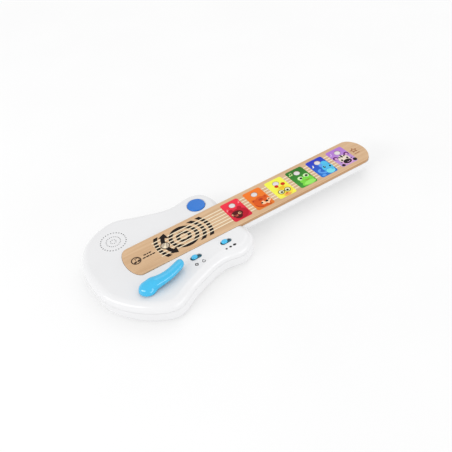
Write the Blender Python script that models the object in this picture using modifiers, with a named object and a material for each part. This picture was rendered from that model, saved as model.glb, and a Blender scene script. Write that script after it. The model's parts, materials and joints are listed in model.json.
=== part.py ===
"""A toy electric guitar: white plastic body and neck, wooden touch fretboard, button, lever and two slides.

Units: every number below is in millimetres, and the helpers turn it into metres.
Axes: +X runs along the neck to the head, +Y is the far side, +Z is up, and the underside lies at z = 0.
The origin is the middle of the underside's bounding rectangle.
"""

import math

import bmesh
import bpy
from mathutils import Matrix

MM = 0.001
GAP = 0.3  # clearance between pieces that touch
TOP_CUT = (25.0, 35.0)  # low and high ends of a cut through the top wall
BELOW = -5.0  # low end of a cut through the floor
SOLDER = 0.1  # clearance under a component that is soldered down

# Overall size
HALF_LENGTH = 222.3
BODY_TOP = 30.8
SEAM = 18.4
SHELL_WALL = 2.2
TOP_ROUND = 10.5  # radius of the body's upper edge
BOTTOM_ROUND = 8.0  # radius of the body's lower edge
UNDER_TOP = BODY_TOP - SHELL_WALL  # inner face of the body's top

# The body's outline, from where the neck crosses it, round the far side to the tail and back
BODY_HALF_WIDTH = 96.0
BODY_POINTS = (
    (-14.0, 0.0),
    (-12.2, 47.5),
    (-20.3, 66.3),
    (-37.8, 73.6),
    (-75.0, 69.9),
    (-110.5, 81.1),
    (-153.1, BODY_HALF_WIDTH),
    (-196.7, 78.6),
    (-218.2, 43.2),
    (-HALF_LENGTH, 0.0),
    (-214.7, -39.6),
    (-184.8, -78.1),
    (-150.5, -BODY_HALF_WIDTH),
    (-112.0, -79.3),
    (-65.0, -64.3),
    (-31.0, -67.2),
    (-9.3, -48.5),
)
BODY_STEPS = 5  # straight stretches between two points of the outline

# Fretboard
BOARD_HALF_WIDTH = 28.1
BOARD_TAIL = -173.2
BOARD_TAIL_ROUND = 13.5  # how far the curved tail end reaches back
BOARD_HEAD = 221.2
BOARD_HEAD_ROUND = 19.5
BOARD_TOP = 32.0
BOARD_LOW = 27.0
BOARD_EDGE = 1.3
BOARD_POCKET = 0.35  # clearance all round the board in the body

# Lights, one over each coloured pad
PAD_PITCH = 37.0
FIRST_PAD = -2.5
LIGHT_Y = 11.1
LIGHTS = 6
LIGHT_RADIUS = 4.6
PADS = [FIRST_PAD + PAD_PITCH * i for i in range(LIGHTS)]

# Touch board under the wood
TOUCH_LOW = 25.5
TOUCH_TOP = 26.7
TOUCH_HALF_WIDTH = 24.0
TOUCH_TAIL = -148.8
TOUCH_HEAD = 204.0
TROUGH_LOW = 23.4
TROUGH_WALL = 2.0

# Neck tray
NECK_LOW = 14.0
NECK_WALL = 2.0
NECK_ROUND = 6.0
NECK_START = -22.8
NECK_RIBS = (16.0, 90.0, 127.0, 201.0)

# Main circuit board, hung under the body's top
MAIN_LOW = 18.0
MAIN_TOP = 19.6
MAIN_X = (-107.2, -30.7)
MAIN_Y = (-56.0, 50.0)

RIBBON_X = -78.8
CHIP_AT = (-70.8, -20.0)

# Round button
BUTTON_AT = (-40.6, 45.6)
BUTTON_RADIUS = 12.8
BUTTON_TOP = 32.6
BUTTON_TRAVEL = 1.5
BUTTON_UNDER = 26.6
SWITCH_PLUNGER = 23.2

# Slide controls: middle of each slot
MODE_X = -92.0
VOLUME_X = -46.4
SLIDE_Y = -43.0
SLOT_LENGTH = 16.5
SLOT_WIDTH = 7.6
SLIDE_TRAVEL = 4.5
KNOB_LENGTH = 8.6
KNOB_WIDTH = 6.9
KNOB_TOP = 34.2

# Lever: upright pivot at its wide end
LEVER_AT = (-168.6, -56.2)
LEVER_REST = math.radians(8.3)
LEVER_REACH = 51.1
LEVER_BOW = 4.6  # sideways bend of the arm
LEVER_FLATTEN = 0.86  # the arm's height as a share of its width
LEVER_BASE = BODY_TOP + 0.4
DOME_RADIUS = 11.2
DOME_HEIGHT = 12.8
SHAFT_RADIUS = 4.6

# Speaker
SPEAKER_AT = (-166.3, 52.9)
SPEAKER_RADIUS = 20.0
GRILLE_RINGS = ((17.5, 28, 1.0), (9.8, 22, 0.8), (3.9, 8, 0.8))  # ring radius, holes, hole radius
GRILLE_RELIEF = 19.4  # radius of the thinner wall over the speaker
GRILLE_SKIN = 0.9

# Batteries lie across the body, side by side
CELL_RADIUS = 7.1
CELL_LENGTH = 50.5
CELL_PITCH = 15.0
CELL_Z = 10.1
CELLS_X = -139.2
WELL_HALF_X = 23.0
WELL_HALF_Y = 29.6
WELL_WALL = 1.6
WELL_TOP = 17.6
DOOR_HALF_X = 27.2
DOOR_HALF_Y = 33.7
DOOR_LOW = 0.4
DOOR_TOP = 2.2
DOOR_SCREW = (-105.8, 0.0)

# Fasteners: where they stand
SHELL_SCREWS = (
    (-198.8, 30.0),
    (-198.8, -30.0),
    (-114.8, 66.0),
    (-114.8, -64.5),
    (-24.7, 35.2),
    (-24.7, -38.0),
)
BOARD_SCREWS = ((-102.7, 43.0), (-102.7, -51.5), (-34.8, -51.5))
NECK_SCREWS = ((53.0, 0.0), (164.0, 0.0))
TROUGH_SCREWS = ((-148.8, 0.0), (-58.8, 0.0))
SPEAKER_SCREW_ANGLES = (60.0, 200.0)
SPEAKER_SCREW_REACH = 22.8
SCREW_HEAD = 2.9
SCREW_SHANK = 1.25
SCREW_HOLE = 1.6
SCREW_SIDES = 8
ROUND_SIDES = 20


# ---------------------------------------------------------------- scene and materials


def clear_scene():
    for obj in list(bpy.data.objects):
        bpy.data.objects.remove(obj, do_unlink=True)


def new_collection(name):
    group = bpy.data.collections.new(name)
    bpy.context.scene.collection.children.link(group)
    return group


def material(name, colour, roughness, metallic=0.0):
    made = bpy.data.materials.new(name)
    made.use_nodes = True
    shader = made.node_tree.nodes["Principled BSDF"]
    shader.inputs["Base Color"].default_value = (*colour, 1.0)
    shader.inputs["Roughness"].default_value = roughness
    shader.inputs["Metallic"].default_value = metallic
    return made


clear_scene()
PARTS = new_collection("toy_electric_guitar")
CUTTERS = new_collection("cutters")

WHITE = (0.86, 0.86, 0.87)
WOOD = (0.74, 0.50, 0.29)
LIGHT_BLUE = (0.07, 0.46, 0.83)
DEEP_BLUE = (0.04, 0.17, 0.62)
FROST = (0.85, 0.85, 0.86)
STEEL = (0.56, 0.57, 0.58)
CIRCUIT_GREEN = (0.03, 0.20, 0.08)
BLACK = (0.02, 0.02, 0.02)
CELL_SKIN = (0.35, 0.36, 0.38)
WIRE_RED = (0.6, 0.02, 0.02)


# ---------------------------------------------------------------- shape helpers


def add_part(name, mesh, colour, roughness=0.4, metallic=0.0):
    """Puts a sub-part in its collection with a material of its own."""
    obj = bpy.data.objects.new(name, mesh)
    PARTS.objects.link(obj)
    obj.data.materials.append(material(name, colour, roughness, metallic))
    if isinstance(obj.data, bpy.types.Mesh):
        mesh.shade_smooth()
        mesh.set_sharp_from_angle(angle=math.radians(40.0))
    return obj


def add_cutter(name, mesh):
    obj = bpy.data.objects.new(name, mesh)
    CUTTERS.objects.link(obj)
    obj.hide_render = True
    obj.display_type = "WIRE"
    return obj


def finish_mesh(name, shape):
    mesh = bpy.data.meshes.new(name)
    shape.to_mesh(mesh)
    shape.free()
    return mesh


def box_into(shape, low, high):
    size = [(b - a) * MM for a, b in zip(low, high)]
    middle = [(a + b) / 2 * MM for a, b in zip(low, high)]
    matrix = Matrix.Translation(middle) @ Matrix.Diagonal((*size, 1.0))
    bmesh.ops.create_cube(shape, size=1.0, matrix=matrix)


def cylinder_into(shape, at, radius, low, high, sides=ROUND_SIDES):
    middle = (at[0] * MM, at[1] * MM, (low + high) / 2 * MM)
    bmesh.ops.create_cone(
        shape,
        cap_ends=True,
        segments=sides,
        radius1=radius * MM,
        radius2=radius * MM,
        depth=(high - low) * MM,
        matrix=Matrix.Translation(middle),
    )


def box(name, low, high):
    shape = bmesh.new()
    box_into(shape, low, high)
    return finish_mesh(name, shape)


def cylinders(name, places, radius, low, high, sides=ROUND_SIDES):
    """Upright cylinders that stand apart, in one mesh."""
    shape = bmesh.new()
    for at in places:
        cylinder_into(shape, at, radius, low, high, sides)
    return finish_mesh(name, shape)


def curve_points(curve, points, cyclic):
    spline = curve.splines.new("POLY")
    spline.points.add(len(points) - 1)
    for target, point in zip(spline.points, points):
        target.co = (*[value * MM for value in point], 1.0)
    spline.use_cyclic_u = cyclic
    return spline


def plate(name, outline, low, high):
    """A flat outline given thickness: a filled 2D curve, made into a welded mesh."""
    curve = bpy.data.curves.new(name, "CURVE")
    curve.dimensions = "2D"
    curve.fill_mode = "BOTH"
    curve.extrude = (high - low) / 2 * MM
    curve_points(curve, [(x, y, 0.0) for x, y in outline], cyclic=True)
    holder = bpy.data.objects.new(name, curve)
    CUTTERS.objects.link(holder)
    holder.location.z = (low + high) / 2 * MM
    graph = bpy.context.evaluated_depsgraph_get()
    evaluated = holder.evaluated_get(graph)
    mesh = bpy.data.meshes.new_from_object(evaluated)
    mesh.transform(evaluated.matrix_world)
    bpy.data.objects.remove(holder, do_unlink=True)
    weld_mesh(mesh)
    return mesh


def weld_mesh(mesh):
    """Closes the seams that a curve leaves where its caps meet its sides."""
    shape = bmesh.new()
    shape.from_mesh(mesh)
    bmesh.ops.remove_doubles(shape, verts=shape.verts, dist=1e-6)
    bmesh.ops.dissolve_limit(shape, angle_limit=1e-3, verts=shape.verts, edges=shape.edges)
    bmesh.ops.recalc_face_normals(shape, faces=shape.faces)
    shape.to_mesh(mesh)
    shape.free()


def remove_flat_face(mesh, height):
    """Opens a slab by taking away its face at this height."""
    shape = bmesh.new()
    shape.from_mesh(mesh)
    flat = [f for f in shape.faces if all(abs(v.co.z - height * MM) < 1e-6 for v in f.verts)]
    bmesh.ops.delete(shape, geom=flat, context="FACES_ONLY")
    shape.to_mesh(mesh)
    shape.free()


def round_rim(obj, height, radius, segments):
    """Rounds the edges that lie at one height."""
    mesh = obj.data
    weights = mesh.attributes.new("bevel_weight_edge", "FLOAT", "EDGE")
    for edge in mesh.edges:
        ends = [mesh.vertices[i].co.z for i in edge.vertices]
        if all(abs(z - height * MM) < 1e-6 for z in ends):
            weights.data[edge.index].value = 1.0
    bevel = obj.modifiers.new("rim", "BEVEL")
    bevel.limit_method = "WEIGHT"
    bevel.width = radius * MM
    bevel.segments = segments
    bevel.use_clamp_overlap = False


def round_all(obj, radius, segments=2):
    bevel = obj.modifiers.new("edges", "BEVEL")
    bevel.width = radius * MM
    bevel.segments = segments


def thicken(obj, wall):
    solid = obj.modifiers.new("wall", "SOLIDIFY")
    solid.thickness = wall * MM
    solid.offset = -1.0
    solid.use_even_offset = True


def combine(obj, mesh, operation):
    """Joins a helper shape to a sub-part, or cuts it away."""
    tool = add_cutter(f"{obj.name}_{mesh.name}", mesh)
    boolean = obj.modifiers.new(mesh.name, "BOOLEAN")
    boolean.operation = operation
    boolean.object = tool
    return tool


def join(obj, mesh):
    return combine(obj, mesh, "UNION")


def cut(obj, mesh):
    return combine(obj, mesh, "DIFFERENCE")


def turned(name, profile, at, colour, roughness=0.4, metallic=0.0, steps=ROUND_SIDES, ring=False):
    """A profile of (radius, height), from the top down its outer side, turned about an upright axis."""
    shape = bmesh.new()
    corners = [shape.verts.new((r * MM, 0.0, z * MM)) for r, z in profile]
    for first, second in zip(corners, corners[1:]):
        shape.edges.new((first, second))
    if ring:
        shape.edges.new((corners[-1], corners[0]))
    obj = add_part(name, finish_mesh(name, shape), colour, roughness, metallic)
    screw = obj.modifiers.new("turn", "SCREW")
    screw.steps = steps
    screw.render_steps = steps
    screw.use_merge_vertices = True
    screw.merge_threshold = 1e-5
    obj.location = (at[0] * MM, at[1] * MM, 0.0)
    return obj


def tube(name, points, radius, colour, roughness=0.4, metallic=0.0, resolution=1):
    curve = bpy.data.curves.new(name, "CURVE")
    curve.dimensions = "3D"
    curve.bevel_depth = radius * MM
    curve.bevel_resolution = resolution
    curve.use_fill_caps = True
    curve_points(curve, points, cyclic=False)
    return add_part(name, curve, colour, roughness, metallic)


def helix(at, radius, low, high, turns, steps_per_turn=10):
    count = int(turns * steps_per_turn)
    points = []
    for i in range(count + 1):
        angle = 2 * math.pi * turns * i / count
        z = low + (high - low) * i / count
        points.append((at[0] + radius * math.cos(angle), at[1] + radius * math.sin(angle), z))
    return points


def smooth_loop(points, steps):
    """Centripetal Catmull-Rom curve through a closed ring of points."""
    found = []
    count = len(points)
    for i in range(count):
        corners = [points[(i + k - 1) % count] for k in range(4)]
        knots = [0.0]
        for a, b in zip(corners, corners[1:]):
            knots.append(knots[-1] + math.sqrt(math.dist(a, b)))
        for step in range(steps):
            t = knots[1] + (knots[2] - knots[1]) * step / steps
            found.append(catmull_rom(corners, knots, t))
    return found


def catmull_rom(corners, knots, t):
    level = list(corners)
    for width in (1, 2, 2):
        blended = []
        for j in range(len(level) - 1):
            first = knots[j] if len(level) > 2 else knots[1]
            last = knots[j + width] if len(level) > 2 else knots[2]
            share = (t - first) / (last - first)
            blended.append(tuple(a + (b - a) * share for a, b in zip(level[j], level[j + 1])))
        level = blended
    return level[0]


def board_outline(grow=0.0, tail=BOARD_TAIL, steps=9, head=BOARD_HEAD):
    """The outline of the fretboard, grown evenly: straight sides and half-oval ends."""
    half = BOARD_HALF_WIDTH + grow
    points = []
    for end, reach, side in (
        (head + grow, BOARD_HEAD_ROUND + grow, 1),
        (tail - grow, BOARD_TAIL_ROUND + grow, -1),
    ):
        for i in range(steps + 1):
            angle = math.pi * (i / steps - 0.5)
            x = end - side * reach * (1.0 - math.cos(angle))
            points.append((x, side * half * math.sin(angle)))
    return points


def neck_outline(grow=0.0, start=NECK_START):
    """The head end of the fretboard's outline, cut square at its start."""
    half = BOARD_HALF_WIDTH + grow
    ahead = [point for point in board_outline(grow, head=HALF_LENGTH) if point[0] > 0.0]
    return [(start, -half)] + ahead + [(start, half)]


def stadium(at, length, width, steps=6):
    radius = width / 2
    reach = length / 2 - radius
    points = []
    for side, first in ((1, -90.0), (-1, 90.0)):
        for i in range(steps + 1):
            angle = math.radians(first + 180.0 * i / steps)
            points.append((at[0] + side * reach + radius * math.cos(angle), at[1] + radius * math.sin(angle)))
    return points


def rectangle(low, high):
    return [low, (high[0], low[1]), high, (low[0], high[1])]


# ---------------------------------------------------------------- shells and fretboard

BODY_OUTLINE = smooth_loop(BODY_POINTS, BODY_STEPS)


def front_shell():
    mesh = plate("front_shell", BODY_OUTLINE, SEAM + GAP / 2, BODY_TOP)
    remove_flat_face(mesh, SEAM + GAP / 2)
    shell = add_part("front_shell", mesh, WHITE, 0.3)
    round_rim(shell, BODY_TOP, TOP_ROUND, 4)
    thicken(shell, SHELL_WALL)

    inside_top = UNDER_TOP + 0.9  # bosses end inside the wall
    wood_low = BOARD_LOW - GAP
    board_low = TOUCH_LOW - GAP
    trough_grow = BOARD_POCKET + TROUGH_WALL
    tail_part = [p for p in board_outline(trough_grow) if p[0] < 0.0]
    trough_end = NECK_START - GAP
    half = BOARD_HALF_WIDTH + trough_grow
    trough = [(trough_end, half)] + tail_part + [(trough_end, -half)]
    join(shell, plate("trough", trough, TROUGH_LOW, inside_top))
    join(shell, cylinders("shell_bosses", SHELL_SCREWS, 3.6, 16.3, inside_top, 12))
    join(shell, cylinders("board_bosses", BOARD_SCREWS, 3.0, MAIN_TOP + GAP, inside_top, 12))
    join(shell, cylinders("speaker_bosses", speaker_screws(), 2.8, 26.9, inside_top, 12))

    cut(shell, plate("wood_pocket", board_outline(BOARD_POCKET), wood_low, 40.0))
    pocket_half = TOUCH_HALF_WIDTH + 1.4
    touch = rectangle((TOUCH_TAIL - 1.0, -pocket_half), (0.0, pocket_half))
    cut(shell, plate("touch_pocket", touch, board_low, 30.0))
    notch_half = BOARD_HALF_WIDTH + BOARD_POCKET
    notch = rectangle((trough_end, -notch_half), (5.0, notch_half))
    cut(shell, plate("neck_notch", notch, 10.0, 40.0))
    join(shell, cylinders("wood_rests", TROUGH_SCREWS, 4.0, TROUGH_LOW + 0.5, wood_low, 12))

    cut(shell, cylinders("wood_screw_holes", TROUGH_SCREWS, SCREW_HOLE, 20.0, 30.0, SCREW_SIDES))
    cut(shell, cylinders("shell_pilots", SHELL_SCREWS, SCREW_HOLE, 12.0, 27.0, SCREW_SIDES))
    cut(shell, cylinders("board_pilots", BOARD_SCREWS, 1.4, 15.0, 27.0, SCREW_SIDES))
    cut(shell, cylinders("speaker_pilots", speaker_screws(), 1.4, 25.0, 29.2, SCREW_SIDES))
    cut(shell, cylinders("lever_hole", [LEVER_AT], SHAFT_RADIUS + 0.4, *TOP_CUT))
    cut(shell, cylinders("button_hole", [BUTTON_AT], BUTTON_RADIUS + 0.35, *TOP_CUT, 32))
    for name, x in (("mode_slot", MODE_X), ("volume_slot", VOLUME_X)):
        outline = stadium((x, SLIDE_Y), SLOT_LENGTH, SLOT_WIDTH)
        cut(shell, plate(name, outline, *TOP_CUT))
    x = RIBBON_X
    cut(shell, box("ribbon_slot", (x - 3.0, -7.0, 20.0), (x + 3.0, 7.0, 26.0)))
    cut(shell, cylinders("grille_relief", [SPEAKER_AT], GRILLE_RELIEF, 25.0, BODY_TOP - GRILLE_SKIN, 24))
    cut(shell, grille_holes())


def grille_holes():
    shape = bmesh.new()
    for ring, count, radius in GRILLE_RINGS:
        for i in range(count):
            angle = 2 * math.pi * i / count
            at = (SPEAKER_AT[0] + ring * math.cos(angle), SPEAKER_AT[1] + ring * math.sin(angle))
            cylinder_into(shape, at, radius, *TOP_CUT, 6)
    return finish_mesh("grille_holes", shape)


def rear_shell():
    rim = SEAM - GAP / 2
    mesh = plate("rear_shell", BODY_OUTLINE, 0.0, rim)
    remove_flat_face(mesh, rim)
    shell = add_part("rear_shell", mesh, WHITE, 0.3)
    round_rim(shell, 0.0, BOTTOM_ROUND, 4)
    thicken(shell, SHELL_WALL)

    neck_top = BOARD_LOW - GAP
    neck = plate("neck_tray", neck_outline(), NECK_LOW, neck_top)
    remove_flat_face(neck, neck_top)
    tray = join(shell, neck)
    round_rim(tray, NECK_LOW, NECK_ROUND, 3)
    thicken(tray, NECK_WALL)
    inner = BOARD_HALF_WIDTH - NECK_WALL
    passage = inner - 0.6
    low = (NECK_START - 10.0, -passage, NECK_LOW + NECK_WALL)
    cut(shell, box("neck_passage", low, (-8.0, passage, 30.0)))

    floor = SHELL_WALL - 0.7  # posts start inside the floor
    join(shell, cylinders("shell_posts", SHELL_SCREWS, 4.6, floor, 16.0, 14))
    join(shell, cylinders("neck_posts", NECK_SCREWS, 4.0, NECK_LOW + 1.0, neck_top, 12))
    join(shell, neck_ribs(inner))
    join(shell, cylinders("spring_post", [LEVER_AT], 4.4, floor, 19.4, 14))
    seat_x = DOOR_HALF_X + 2.4
    seat_y = DOOR_HALF_Y + 2.4
    join(shell, box("door_seat", (CELLS_X - seat_x, -seat_y, floor), (CELLS_X + seat_x, seat_y, 4.1)))
    well_x = WELL_HALF_X + WELL_WALL
    well_y = WELL_HALF_Y + WELL_WALL
    well_roof = WELL_TOP + 1.8
    join(shell, box("battery_well", (CELLS_X - well_x, -well_y, 3.0), (CELLS_X + well_x, well_y, well_roof)))
    join(shell, cylinders("door_boss", [DOOR_SCREW], 7.4, floor, 13.0, 16))

    cut(shell, plate("door_opening", door_outline(0.35), BELOW, DOOR_TOP + GAP))
    low = (CELLS_X - WELL_HALF_X, -WELL_HALF_Y, BELOW)
    high = (CELLS_X + WELL_HALF_X, WELL_HALF_Y, WELL_TOP)
    cut(shell, box("well_inside", low, high))
    cut(shell, tab_slots())
    cut(shell, cylinders("door_cup", [DOOR_SCREW], 5.0, BELOW, 4.3, 16))
    cut(shell, cylinders("door_pilot", [DOOR_SCREW], SCREW_HOLE, 4.0, 12.0, SCREW_SIDES))
    cut(shell, cylinders("screw_wells", SHELL_SCREWS, 3.4, BELOW, 10.0, 12))
    cut(shell, cylinders("screw_holes", SHELL_SCREWS, SCREW_HOLE, 5.0, 20.0, SCREW_SIDES))
    cut(shell, cylinders("neck_wells", NECK_SCREWS, 3.2, 10.0, 20.0, 12))
    cut(shell, cylinders("neck_holes", NECK_SCREWS, SCREW_HOLE, 15.0, 30.0, SCREW_SIDES))


def neck_ribs(inner):
    shape = bmesh.new()
    for x in NECK_RIBS:
        reach = inner + 0.8 if x < HALF_LENGTH - BOARD_HEAD_ROUND - 5.0 else inner
        box_into(shape, (x - 0.6, -reach, NECK_LOW + 1.0), (x + 0.6, reach, TOUCH_LOW - GAP))
    return finish_mesh("neck_ribs", shape)


def tab_slots():
    """Slots in the battery well's roof for the two solder tabs."""
    shape = bmesh.new()
    for x, side in ((CELLS_X - CELL_PITCH, 1), (CELLS_X + CELL_PITCH, -1)):
        y = side * (WELL_HALF_Y - 0.6)
        box_into(shape, (x - 2.0, y - 0.9, WELL_TOP - 1.0), (x + 2.0, y + 0.9, WELL_TOP + 4.0))
    return finish_mesh("tab_slots", shape)


def fretboard():
    board = add_part("fretboard", plate("fretboard", board_outline(), BOARD_LOW, BOARD_TOP), WOOD, 0.5)
    round_rim(board, BOARD_TOP, BOARD_EDGE, 2)
    lights = [(x, LIGHT_Y) for x in PADS]
    cut(board, cylinders("light_holes", lights, LIGHT_RADIUS + GAP, 20.0, 40.0, 16))
    pilots = NECK_SCREWS + TROUGH_SCREWS
    cut(board, cylinders("pilots", pilots, SCREW_HOLE, 20.0, 31.0, SCREW_SIDES))


def light_windows():
    low = 28.6
    top = BOARD_TOP - 0.1
    edge = 0.4
    for number, x in enumerate(PADS, 1):
        profile = [
            (0.0, top),
            (LIGHT_RADIUS - edge, top),
            (LIGHT_RADIUS, top - edge),
            (LIGHT_RADIUS, low),
            (0.0, low),
        ]
        turned(f"light_window_{number}", profile, (x, LIGHT_Y), FROST, 0.35, steps=16)


def touch_board():
    outline = rectangle((TOUCH_TAIL, -TOUCH_HALF_WIDTH), (TOUCH_HEAD, TOUCH_HALF_WIDTH))
    board = add_part("touch_board", plate("touch_board", outline, TOUCH_LOW, TOUCH_TOP), CIRCUIT_GREEN, 0.4)
    shape = bmesh.new()
    for x in PADS:
        box_into(shape, (x - 1.8, LIGHT_Y - 1.8, TOUCH_TOP - 0.4), (x + 1.8, LIGHT_Y + 1.8, 28.2))
    join(board, finish_mesh("leds", shape))
    cut(board, cylinders("rest_holes", NECK_SCREWS + TROUGH_SCREWS, 4.4, 20.0, 40.0, 12))


# ---------------------------------------------------------------- controls


def play_button():
    radius = BUTTON_RADIUS
    flange = radius + 1.4
    under_shell = UNDER_TOP - GAP
    profile = [
        (0.0, BUTTON_TOP),
        (radius * 0.55, BUTTON_TOP - 0.15),
        (radius - 1.2, BUTTON_TOP - 0.55),
        (radius - 0.3, BUTTON_TOP - 1.0),
        (radius, BUTTON_TOP - 1.8),
        (radius, under_shell),
        (flange, under_shell),
        (flange, BUTTON_UNDER),
        (2.2, BUTTON_UNDER),
        (2.2, SWITCH_PLUNGER + BUTTON_TRAVEL + 0.2),
        (0.0, SWITCH_PLUNGER + BUTTON_TRAVEL + 0.2),
    ]
    turned("play_button", profile, BUTTON_AT, DEEP_BLUE, 0.35, steps=32)
    wire = 0.4
    low = MAIN_TOP + GAP + wire
    high = BUTTON_UNDER - GAP - wire
    tube("button_spring", helix(BUTTON_AT, 8.2, low, high, 3), wire, STEEL, 0.3, 1.0)


def button_switch():
    x, y = BUTTON_AT
    low = MAIN_TOP + SOLDER
    case = box("button_switch", (x - 3.1, y - 3.1, low), (x + 3.1, y + 3.1, 22.6))
    switch = add_part("button_switch", case, BLACK)
    join(switch, cylinders("plunger", [BUTTON_AT], 1.7, 22.0, SWITCH_PLUNGER, 12))


def slide_knob(name, slot_x):
    """Cap, shutter plate under the shell and stem in the switch, at the tail end of its travel."""
    x = slot_x - SLIDE_TRAVEL / 2
    plate_top = UNDER_TOP - GAP
    plate_low = plate_top - 1.1
    reach_x = (SLOT_LENGTH + SLIDE_TRAVEL) / 2 + 0.8
    reach_y = 5.0
    low = (x - reach_x, SLIDE_Y - reach_y, plate_low)
    high = (x + reach_x, SLIDE_Y + reach_y, plate_top)
    knob = add_part(name, box(name, low, high), LIGHT_BLUE, 0.3)
    cap = plate("cap", stadium((x, SLIDE_Y), KNOB_LENGTH, KNOB_WIDTH, 5), plate_low + 0.4, KNOB_TOP)
    round_rim(join(knob, cap), KNOB_TOP, 2.2, 3)
    stem = rectangle((x - 1.2, SLIDE_Y - 1.1), (x + 1.2, SLIDE_Y + 1.1))
    join(knob, plate("stem", stem, 22.6, plate_low + 0.5))


def slide_switch(name, slot_x):
    low = (slot_x - 6.5, SLIDE_Y - 3.2, MAIN_TOP + SOLDER)
    switch = add_part(name, box(name, low, (slot_x + 6.5, SLIDE_Y + 3.2, 24.3)), STEEL, 0.35, 1.0)
    cut(switch, box("track", (slot_x - 3.8, SLIDE_Y - 1.5, 22.2), (slot_x + 3.8, SLIDE_Y + 1.5, 30.0)))


def lever():
    """Dome over the pivot with a shaft down through the shell, and an arm that rises towards its tip."""
    x, y = LEVER_AT
    profile = []
    for i in range(6):
        angle = math.radians(90.0 - 18.0 * i)
        profile.append((DOME_RADIUS * math.cos(angle), LEVER_BASE + DOME_HEIGHT * math.sin(angle)))
    profile[0] = (0.0, LEVER_BASE + DOME_HEIGHT)
    profile += [(SHAFT_RADIUS, LEVER_BASE), (SHAFT_RADIUS, 25.0), (0.0, 25.0)]
    arm_owner = turned("lever", profile, LEVER_AT, LIGHT_BLUE, 0.22, steps=20)
    holder = join(arm_owner, lever_arm())
    holder.location = (x * MM, y * MM, 0.0)
    cut(arm_owner, cylinders("bore", [LEVER_AT], SCREW_HOLE, 20.0, 33.0, SCREW_SIDES))


def lever_arm():
    """A tapered rod with a round tip, a little flattened, drawn from the pivot at the rest angle."""
    stations = (
        (2.0, 38.4, 8.2),
        (8.0, 39.0, 8.7),
        (14.0, 39.3, 7.6),
        (21.5, 39.3, 6.7),
        (29.0, 39.4, 6.4),
        (37.0, 39.6, 6.2),
        (45.0, 39.8, 6.0),
        (LEVER_REACH, 40.0, 5.6),
        (LEVER_REACH + 2.6, 40.0, 4.9),
        (LEVER_REACH + 4.5, 40.0, 3.6),
        (LEVER_REACH + 5.5, 40.0, 1.5),
    )
    curve = bpy.data.curves.new("arm", "CURVE")
    curve.dimensions = "3D"
    curve.bevel_depth = MM
    curve.bevel_resolution = 4
    curve.use_fill_caps = True
    points = []
    for along, height, _ in stations:
        bow = -LEVER_BOW * math.sin(math.pi * along / LEVER_REACH)
        x = along * math.cos(LEVER_REST) - bow * math.sin(LEVER_REST)
        y = along * math.sin(LEVER_REST) + bow * math.cos(LEVER_REST)
        points.append((x, y, height / LEVER_FLATTEN))
    spline = curve_points(curve, points, cyclic=False)
    for point, (_, _, radius) in zip(spline.points, stations):
        point.radius = radius
    holder = bpy.data.objects.new("arm", curve)
    CUTTERS.objects.link(holder)
    holder.scale.z = LEVER_FLATTEN
    graph = bpy.context.evaluated_depsgraph_get()
    evaluated = holder.evaluated_get(graph)
    mesh = bpy.data.meshes.new_from_object(evaluated)
    mesh.transform(evaluated.matrix_world)
    bpy.data.objects.remove(holder, do_unlink=True)
    weld_mesh(mesh)
    return mesh


def lever_inner_parts():
    x, y = LEVER_AT
    crank_low = 22.9
    hub = 8.5
    bore = SHAFT_RADIUS + GAP
    profile = [
        (bore, 28.2),
        (hub, 28.2),
        (hub, crank_low),
        (SCREW_HOLE, crank_low),
        (SCREW_HOLE, 24.7),
        (bore, 24.7),
    ]
    crank = turned("lever_crank", profile, LEVER_AT, WHITE, 0.4, steps=16, ring=True)
    join(crank, box("crank_arm", (x + 7.0, y - 2.2, 23.4), (x + 14.5, y + 2.2, 26.4)))
    screw_part("lever_screw", LEVER_AT, crank_low - GAP, 31.0)
    wire = 0.5
    coil = helix(LEVER_AT, 6.2, 14.5, crank_low - GAP - wire, 4)
    tube("lever_spring", coil, wire, STEEL, 0.3, 1.0, resolution=0)
    low = (x + 15.2, y - 7.0, 22.8)
    high = (x + 23.0, y + 7.0, UNDER_TOP - GAP)
    sensor = add_part("lever_sensor", box("lever_sensor", low, high), BLACK, 0.4)
    round_all(sensor, 0.6, 1)


# ---------------------------------------------------------------- electrics


def speaker_screws():
    places = []
    for degrees in SPEAKER_SCREW_ANGLES:
        angle = math.radians(degrees)
        x = SPEAKER_AT[0] + SPEAKER_SCREW_REACH * math.cos(angle)
        places.append((x, SPEAKER_AT[1] + SPEAKER_SCREW_REACH * math.sin(angle)))
    return places


def speaker():
    top = 28.1
    flange = 26.9
    frame = [
        (17.6, top),
        (SPEAKER_RADIUS, top),
        (SPEAKER_RADIUS, flange),
        (18.0, flange),
        (12.6, 19.0),
        (12.6, 17.8),
        (5.0, 17.8),
        (5.0, 18.8),
        (11.7, 18.8),
        (17.1, 27.2),
    ]
    turned("speaker_frame", frame, SPEAKER_AT, STEEL, 0.35, 1.0, steps=20, ring=True)
    magnet = [(0.0, 17.5), (10.6, 17.5), (11.0, 17.1), (11.0, 11.0), (10.6, 10.6), (0.0, 10.6)]
    turned("speaker_magnet", magnet, SPEAKER_AT, BLACK, 0.5, 0.3)
    cone = [(0.0, 23.8), (3.6, 23.2), (5.2, 21.8), (16.0, 27.9), (16.4, 27.5), (6.0, 20.8), (0.0, 20.8)]
    turned("speaker_cone", cone, SPEAKER_AT, BLACK, 0.8)


def main_board():
    low = (MAIN_X[0], MAIN_Y[0])
    outline = rectangle(low, (MAIN_X[1], MAIN_Y[1]))
    board = add_part("main_board", plate("main_board", outline, MAIN_LOW, MAIN_TOP), CIRCUIT_GREEN, 0.4)
    cut(board, cylinders("mount_holes", BOARD_SCREWS, SCREW_HOLE, 10.0, 25.0, SCREW_SIDES))
    base = MAIN_TOP + SOLDER
    blob = [(0.0, base + 1.7), (3.0, base + 1.5), (5.2, base + 0.8), (6.2, base), (0.0, base)]
    turned("sound_chip", blob, CHIP_AT, BLACK, 0.3, steps=14)


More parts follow.
